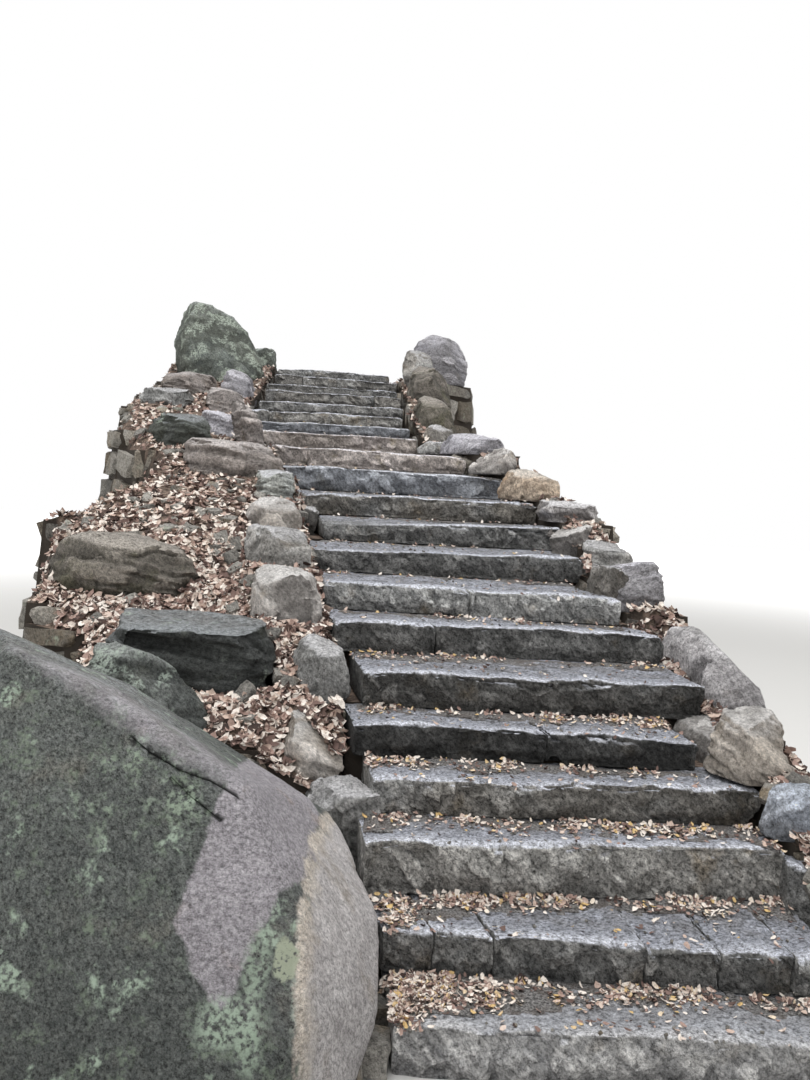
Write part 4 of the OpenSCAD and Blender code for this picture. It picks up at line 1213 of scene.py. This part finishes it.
# %% Earth as closed pieces
def grid_piece(name, mask, top, thick):
    """A closed mesh over the marked places of the grid, with this top and an even thickness."""
    number = np.full(mask.shape, -1)
    number[mask] = np.arange(mask.sum())
    full = mask[:-1, :-1] & mask[1:, :-1] & mask[1:, 1:] & mask[:-1, 1:]
    a, b = number[:-1, :-1][full], number[1:, :-1][full]
    c, d = number[1:, 1:][full], number[:-1, 1:][full]
    quads = np.stack([a, b, c, d], axis=1)
    i, j = np.nonzero(mask)
    points = np.stack([xs[i], ys[j], top[mask]], axis=1)
    count = len(points)
    # An edge that two squares share runs both ways and drops out, which leaves the rim
    rim = {}
    for quad in quads.tolist():
        for p, q in zip(quad, quad[1:] + quad[:1]):
            if not rim.pop((q, p), False):
                rim[p, q] = True
    sides = [(q, p, p + count, q + count) for p, q in rim]
    under = points - np.array([0, 0, thick])
    mesh = bpy.data.meshes.new(name)
    mesh.from_pydata(np.concatenate([points, under]).tolist(), [],
                     quads.tolist() + (quads[:, ::-1] + count).tolist() + sides)
    piece = new_object(name, mesh)
    with whole_in_edit_mode(piece):
        bpy.ops.mesh.delete_loose()
        bpy.ops.mesh.normals_make_consistent(inside=False)
    return piece


open_wall = ~on_tread & ~np.isnan(earth_top) & (earth_top > surface - 0.03)
fill = grid_piece("edge_earth", spread_out(open_wall, 1) & ~np.isnan(earth_top) & ~on_tread, earth_top, 0.06)
finish_piece([fill], "edge_earth", [earth], "rubble")
print("edge_earth", triangles_of(fill), "triangles")

# Crushed stone and rotted leaves, almost black between pale crumbs
dark_grit, tree, shader = new_material("dark_grit")
place = own_place(tree)
crumbs = add(tree, "ShaderNodeTexNoise", {"Vector": place, "Scale": 120.0, "Detail": 5, "Roughness": 0.8})
light = add(tree, "ShaderNodeMapRange", {"Value": crumbs, "From Min": 0.4, "From Max": 0.68})
colour = add(tree, "ShaderNodeMix", {"Factor": light, "A": linear("#262626"), "B": linear("#b5b2b0")},
             data_type="RGBA")
show_colour(tree, shader, coat(tree, colour, linear("#5f544c"), 0.4, patches(tree, place, 0.06, 0.45, 0.6)))
stone_bump(tree, shader, place, 0.015, 0.012)

# %% Dirt under the risers
wedges = []
for step in range(len(STEPS)):
    mask = spread_out(open_tread & (kind == step), 1) & (kind == step)
    top = np.where(mask, surface + tread_dirt, np.nan)
    # One more row goes in under the next riser, at the height of the row before
    inside = np.zeros_like(mask)
    inside[:, 1:] = mask[:, :-1] & ~mask[:, 1:]
    rows = np.nonzero(inside)
    top[rows] = top[rows[0], rows[1] - 1]
    mask |= inside
    if mask.sum() > 8:
        wedges.append(grid_piece("dirt", mask, top, 0.02))
dirt = finish_piece(wedges, "tread_dirt", [dark_grit], "rubble")
print("tread_dirt", triangles_of(dirt), "triangles")

# %% [markdown]
# ## Fallen leaves, grit and small stones
#
# Leaves lie thick on the earth of the bank and at the left ends of the lowest steps, and gather in a band under
# each riser, thinner from step to step. A leaf is a bent six-sided lens, closed and a fraction of a millimetre
# thick at its rim. Places are drawn at random by how thick the litter lies there, and every leaf gets its own
# size, turn, tilt and tone.

# %% How thick the litter lies
dice = np.random.default_rng(12)
height = np.where(on_tread, surface + np.maximum(tread_dirt, 0), np.fmax(earth_top, surface - 0.003))
thick = np.zeros(surface.shape)
# On the bank it thins out towards the outer edge
thick[open_wall] = soft_step(to_edge[open_wall], 0.03, 0.12)
# On a tread it lies on the dirt and close under the next riser, and less on each higher step
step_share = np.array([1.0, 0.9, 0.7, 0.65, 0.6, 0.4, 0.3, 0.25, 0.2] + [0.15] * 13)
heap = np.clip(tread_dirt[on_tread] + 0.006, 0, 0.02) / 0.02
thick[on_tread] = step_share[kind[on_tread]] * (2.2 * heap + 0.5 * np.exp(-behind[on_tread] / 0.035) + 0.05)
# It gathers in clumps, gets thinner up the flight, and drifts to the left end of the lowest step
clumps = np.array([[lumps_at(x, y, 0.13, 21) + 0.6 * lumps_at(x, y, 0.45, 23) for y in ys] for x in xs])
thick *= np.where(on_tread, np.clip(0.6 + 1.5 * clumps, 0.1, 2.0), np.clip(0.9 + 0.9 * clumps, 0.4, 1.6))
thick *= np.clip(1.7 - ys / 5, 0.35, 1.7)[None, :]
at_corner = np.exp(-((xs + 0.72) / 0.07) ** 2)[:, None] * np.ones(len(ys))[None, :]
thick = np.where(kind == 0, thick + 2.2 * at_corner, thick)


# %% Draw places and turns
def places(weights, count, jitter=CELL):
    """Draws this many places, with their height and the slope there, by weight."""
    flat = weights.ravel() / weights.sum()
    chosen = dice.choice(len(flat), count, p=flat)
    i, j = np.unravel_index(chosen, weights.shape)
    across, uphill = dice.uniform(-jitter / 2, jitter / 2, (2, count))
    i1, j1 = np.clip(i + 1, 0, len(xs) - 1), np.clip(j + 1, 0, len(ys) - 1)
    slope_x = np.nan_to_num((height[i1, j] - height[i, j]) / CELL)
    slope_y = np.nan_to_num((height[i, j1] - height[i, j]) / CELL)
    slope_x, slope_y = np.clip(slope_x, -0.6, 0.6), np.clip(slope_y, -0.6, 0.6)
    z = height[i, j] + slope_x * across + slope_y * uphill
    return np.stack([xs[i] + across, ys[j] + uphill, z], axis=1), slope_x, slope_y


def turned(slope_x, slope_y, tilt):
    """A random turn about the upright, then a random tilt, then the slope of the ground, as matrices."""
    result = []
    for a, b in zip(slope_x, slope_y):
        lean = Euler((math.atan(b) + dice.normal(0, tilt), -math.atan(a) + dice.normal(0, tilt), 0))
        result.append(np.array(lean.to_matrix() @ Matrix.Rotation(dice.uniform(0, 2 * math.pi), 3, "Z")))
    return np.array(result)


def strew(name, forms, spots, turns, sizes, material, tones):
    """Puts a random form at every spot and joins them all into one piece."""
    copies = []
    for spot, turn, size, tone in zip(spots, turns, sizes, tones):
        form, faces = forms[dice.integers(len(forms))]
        copies.append(((form * size) @ turn.T + spot, faces, dice.uniform(-20, 20, 3), tone, 0.0))
    joined_copies(name, copies, material, "rubble")


def leaf_form(width, curl, lobes):
    """A six-sided leaf one unit long: its points and faces."""
    rim = [(math.cos(k * math.pi / 3) * (0.5 - lobes * (k % 2)),
            math.sin(k * math.pi / 3) * width * (0.5 - lobes * (k % 2))) for k in range(6)]
    rim = [(x, y, curl * (x * x * 1.2 + y * y * 2.5)) for x, y in rim]
    return (np.array(rim + [(0, 0, 0.012), (0, 0, -0.012)]),
            [(k, (k + 1) % 6, 6) for k in range(6)] + [((k + 1) % 6, k, 7) for k in range(6)])


# %% The material of the leaves
# Dry leaves, matt and slightly blotched.
# From dark brown over tan and pinkish tan to cream, with a few yellow ones, by the leaf's own tone
leaf_paint, tree, shader = new_material("dry_leaf")
LEAF_TONES = [(0.0, "#2c2422"), (0.2, "#6e5a54"), (0.38, "#a98f85"), (0.55, "#cfb9ab"), (0.75, "#efe6dc"),
              (0.88, "#efe6dc"), (0.97, "#d9bb84")]
colour = linear(LEAF_TONES[0][1])
for (start, _), (end, code) in zip(LEAF_TONES, LEAF_TONES[1:]):
    colour = coat(tree, colour, linear(code), 1.0, share_of(tree, "tone", start, end))
colour = coat(tree, colour, linear("#6a5244"), 0.4, patches(tree, own_place(tree), 0.008, 0.45, 0.7))
show_colour(tree, shader, colour)

# %% Strew them
leaf_forms = [leaf_form(0.55, 0.5, 0.0), leaf_form(0.7, -0.4, 0.12), leaf_form(0.4, 0.9, 0.0),
              leaf_form(0.8, 0.3, 0.16), leaf_form(0.5, 1.4, 0.05)]
on_steps = np.where(on_tread, thick, 0)
on_bank = np.where(open_wall, thick, 0)

spots, slope_x, slope_y = places(on_steps, 6000)
spots[:, 2] += dice.uniform(0.0, 0.005, len(spots))
strew("leaves_on_treads", leaf_forms, spots, turned(slope_x, slope_y, 0.3),
      dice.uniform(0.010, 0.036, (len(spots), 1)), leaf_paint, dice.beta(1.1, 0.95, len(spots)))
# The bank is strewn in two parts, which keeps each piece small
PART_LINE = 2.2
for part, here, count in (("lower", ys < PART_LINE, 7500), ("upper", ys >= PART_LINE, 4500)):
    spots, slope_x, slope_y = places(on_bank * here[None, :], count)
    spots[:, 2] += dice.uniform(0.002, 0.016, len(spots))
    strew("leaves_on_" + part + "_bank", leaf_forms, spots, turned(slope_x, slope_y, 0.4),
          dice.uniform(0.026, 0.07, (len(spots), 1)), leaf_paint, 0.9 * dice.beta(0.9, 0.9, len(spots)))
spots, slope_x, slope_y = places(on_bank, 150)
strew("small_stones", shapes, spots, turned(slope_x, slope_y, 0.2),
      dice.uniform(0.03, 0.10, (len(spots), 1)) * np.array([[1.2, 1, 0.7]]), wall_stone,
      dice.uniform(0.6, 1.3, len(spots)))
spots, slope_x, slope_y = places(on_steps + 0.02 * on_tread, 900)
strew("grit", stone_shapes(3, 50, 1), spots, turned(slope_x, slope_y, 0.4),
      dice.uniform(0.005, 0.014, (len(spots), 1)) * np.array([[1.2, 1, 0.8]]), wall_stone,
      dice.uniform(0.6, 1.3, len(spots)))

# %% [markdown]
# Four small stones stand on the ground between the great boulder and the lowest slab, where they keep the slab's
# end from washing out.

# %% Stones at the boulder's foot
FOOT_STONES = [((-0.80, -0.62), (0.13, 0.17, 0.13)), ((-0.80, -0.44), (0.11, 0.17, 0.15)),
               ((-0.84, -0.27), (0.12, 0.16, 0.14)), ((-0.88, -0.77), (0.16, 0.12, 0.09))]
foot_spots = np.array([(x, y, size[2] / 2 + 0.002) for (x, y), size in FOOT_STONES])
turns = np.array([np.array(Matrix.Rotation(0.5 * k, 3, "Z")) for k in range(len(FOOT_STONES))])
strew("foot_stones", shapes, foot_spots, turns, [np.array(size) for _, size in FOOT_STONES], wall_stone,
      [1.2, 0.7, 0.8, 1.0])

# %% [markdown]
# ## Floor, light and camera
#
# A pale floor and a soft sky light the stones as an overcast day does: from above and all round. The camera
# stands where the photographer stood, at eye height a few steps in front of the foot, and is held a little tilted.

# %% The stage
def seen_straight(tree):
    """A mask that is 1 for what the camera sees, also through glass or in a mirror."""
    ray = add(tree, "ShaderNodeLightPath").outputs
    seen = add(tree, "ShaderNodeMath", {0: ray["Is Camera Ray"], 1: ray["Is Glossy Ray"]}, operation="MAXIMUM")
    return add(tree, "ShaderNodeMath", {0: seen, 1: ray["Is Transmission Ray"]}, operation="MAXIMUM")


# The floor is pale near the stones and fades to the white of the sky, so that no horizon shows
FLOOR_SIZE = 60.0
bpy.ops.mesh.primitive_plane_add(size=FLOOR_SIZE, location=(0, 4, 0))
floor = bpy.context.object
floor.name = "floor"
floor_paint, tree, shader = new_material("pale_floor")
away = add(tree, "ShaderNodeVectorMath", {0: add(tree, "ShaderNodeTexCoord").outputs["Object"]}, operation="LENGTH")
far = add(tree, "ShaderNodeMapRange", {"Value": away.outputs["Value"], "From Min": 6.0, "From Max": 19.0},
          interpolation_type="SMOOTHSTEP")
glow = add(tree, "ShaderNodeMath", {0: far, 1: seen_straight(tree)}, operation="MULTIPLY")
shader.inputs["Base Color"].default_value = linear("#e6e5e2")
shader.inputs["Emission Color"].default_value = (1.0, 1.0, 1.0, 1.0)
tree.links.new(glow.outputs[0], shader.inputs["Emission Strength"])
floor.data.materials.append(floor_paint)

# %% Light
world = bpy.data.worlds.new("soft sky")
bpy.context.scene.world = world
world.use_nodes = True
sky = world.node_tree
SKY_LIGHT = 0.6
strength = add(sky, "ShaderNodeMapRange", {"Value": seen_straight(sky), "To Min": SKY_LIGHT, "To Max": 1.0})
background = sky.nodes["Background"]
background.inputs["Color"].default_value = (1.0, 1.0, 1.0, 1.0)
sky.links.new(strength.outputs["Result"], background.inputs["Strength"])

# Two round lamps, one high above and one before the foot: place, turn, size in metres and power in watts
LAMPS = {"soft_box": ((-2.0, 1.0, 12.0), (0.0, 0.0, 0.0), 9.0, 1000.0),
         "front_soft_box": ((-3.0, -9.0, 6.0), (62.0, 0.0, -14.0), 6.0, 250.0)}
for name, (spot, turn, size, power) in LAMPS.items():
    bpy.ops.object.light_add(type="AREA", location=spot, rotation=as_radians(turn))
    lamp = bpy.context.object
    lamp.name = name
    lamp.data.shape = "DISK"
    lamp.data.size = size
    lamp.data.energy = power

# %% Camera
EYE = (-0.78, -3.78, 1.93)
# The picture is 1080 pixels high, and its horizon lies 60 pixels above the middle
HORIZON_ABOVE_MIDDLE, FOCAL_PIXELS, LONG_SIDE = 60, 1000, 1080
ROLL = math.radians(3.0)
pitch = math.atan(HORIZON_ABOVE_MIDDLE / FOCAL_PIXELS)
camera_data = bpy.data.cameras.new("camera")
camera_data.sensor_width = 36.0
camera_data.lens = 36.0 * FOCAL_PIXELS / LONG_SIDE
camera = new_object("camera", camera_data)
camera.matrix_world = (Matrix.Translation(EYE) @ Matrix.Rotation(math.radians(90) - pitch, 4, "X")
                       @ Matrix.Rotation(ROLL, 4, "Z"))
bpy.context.scene.camera = camera
bpy.context.scene.view_settings.view_transform = "Standard"
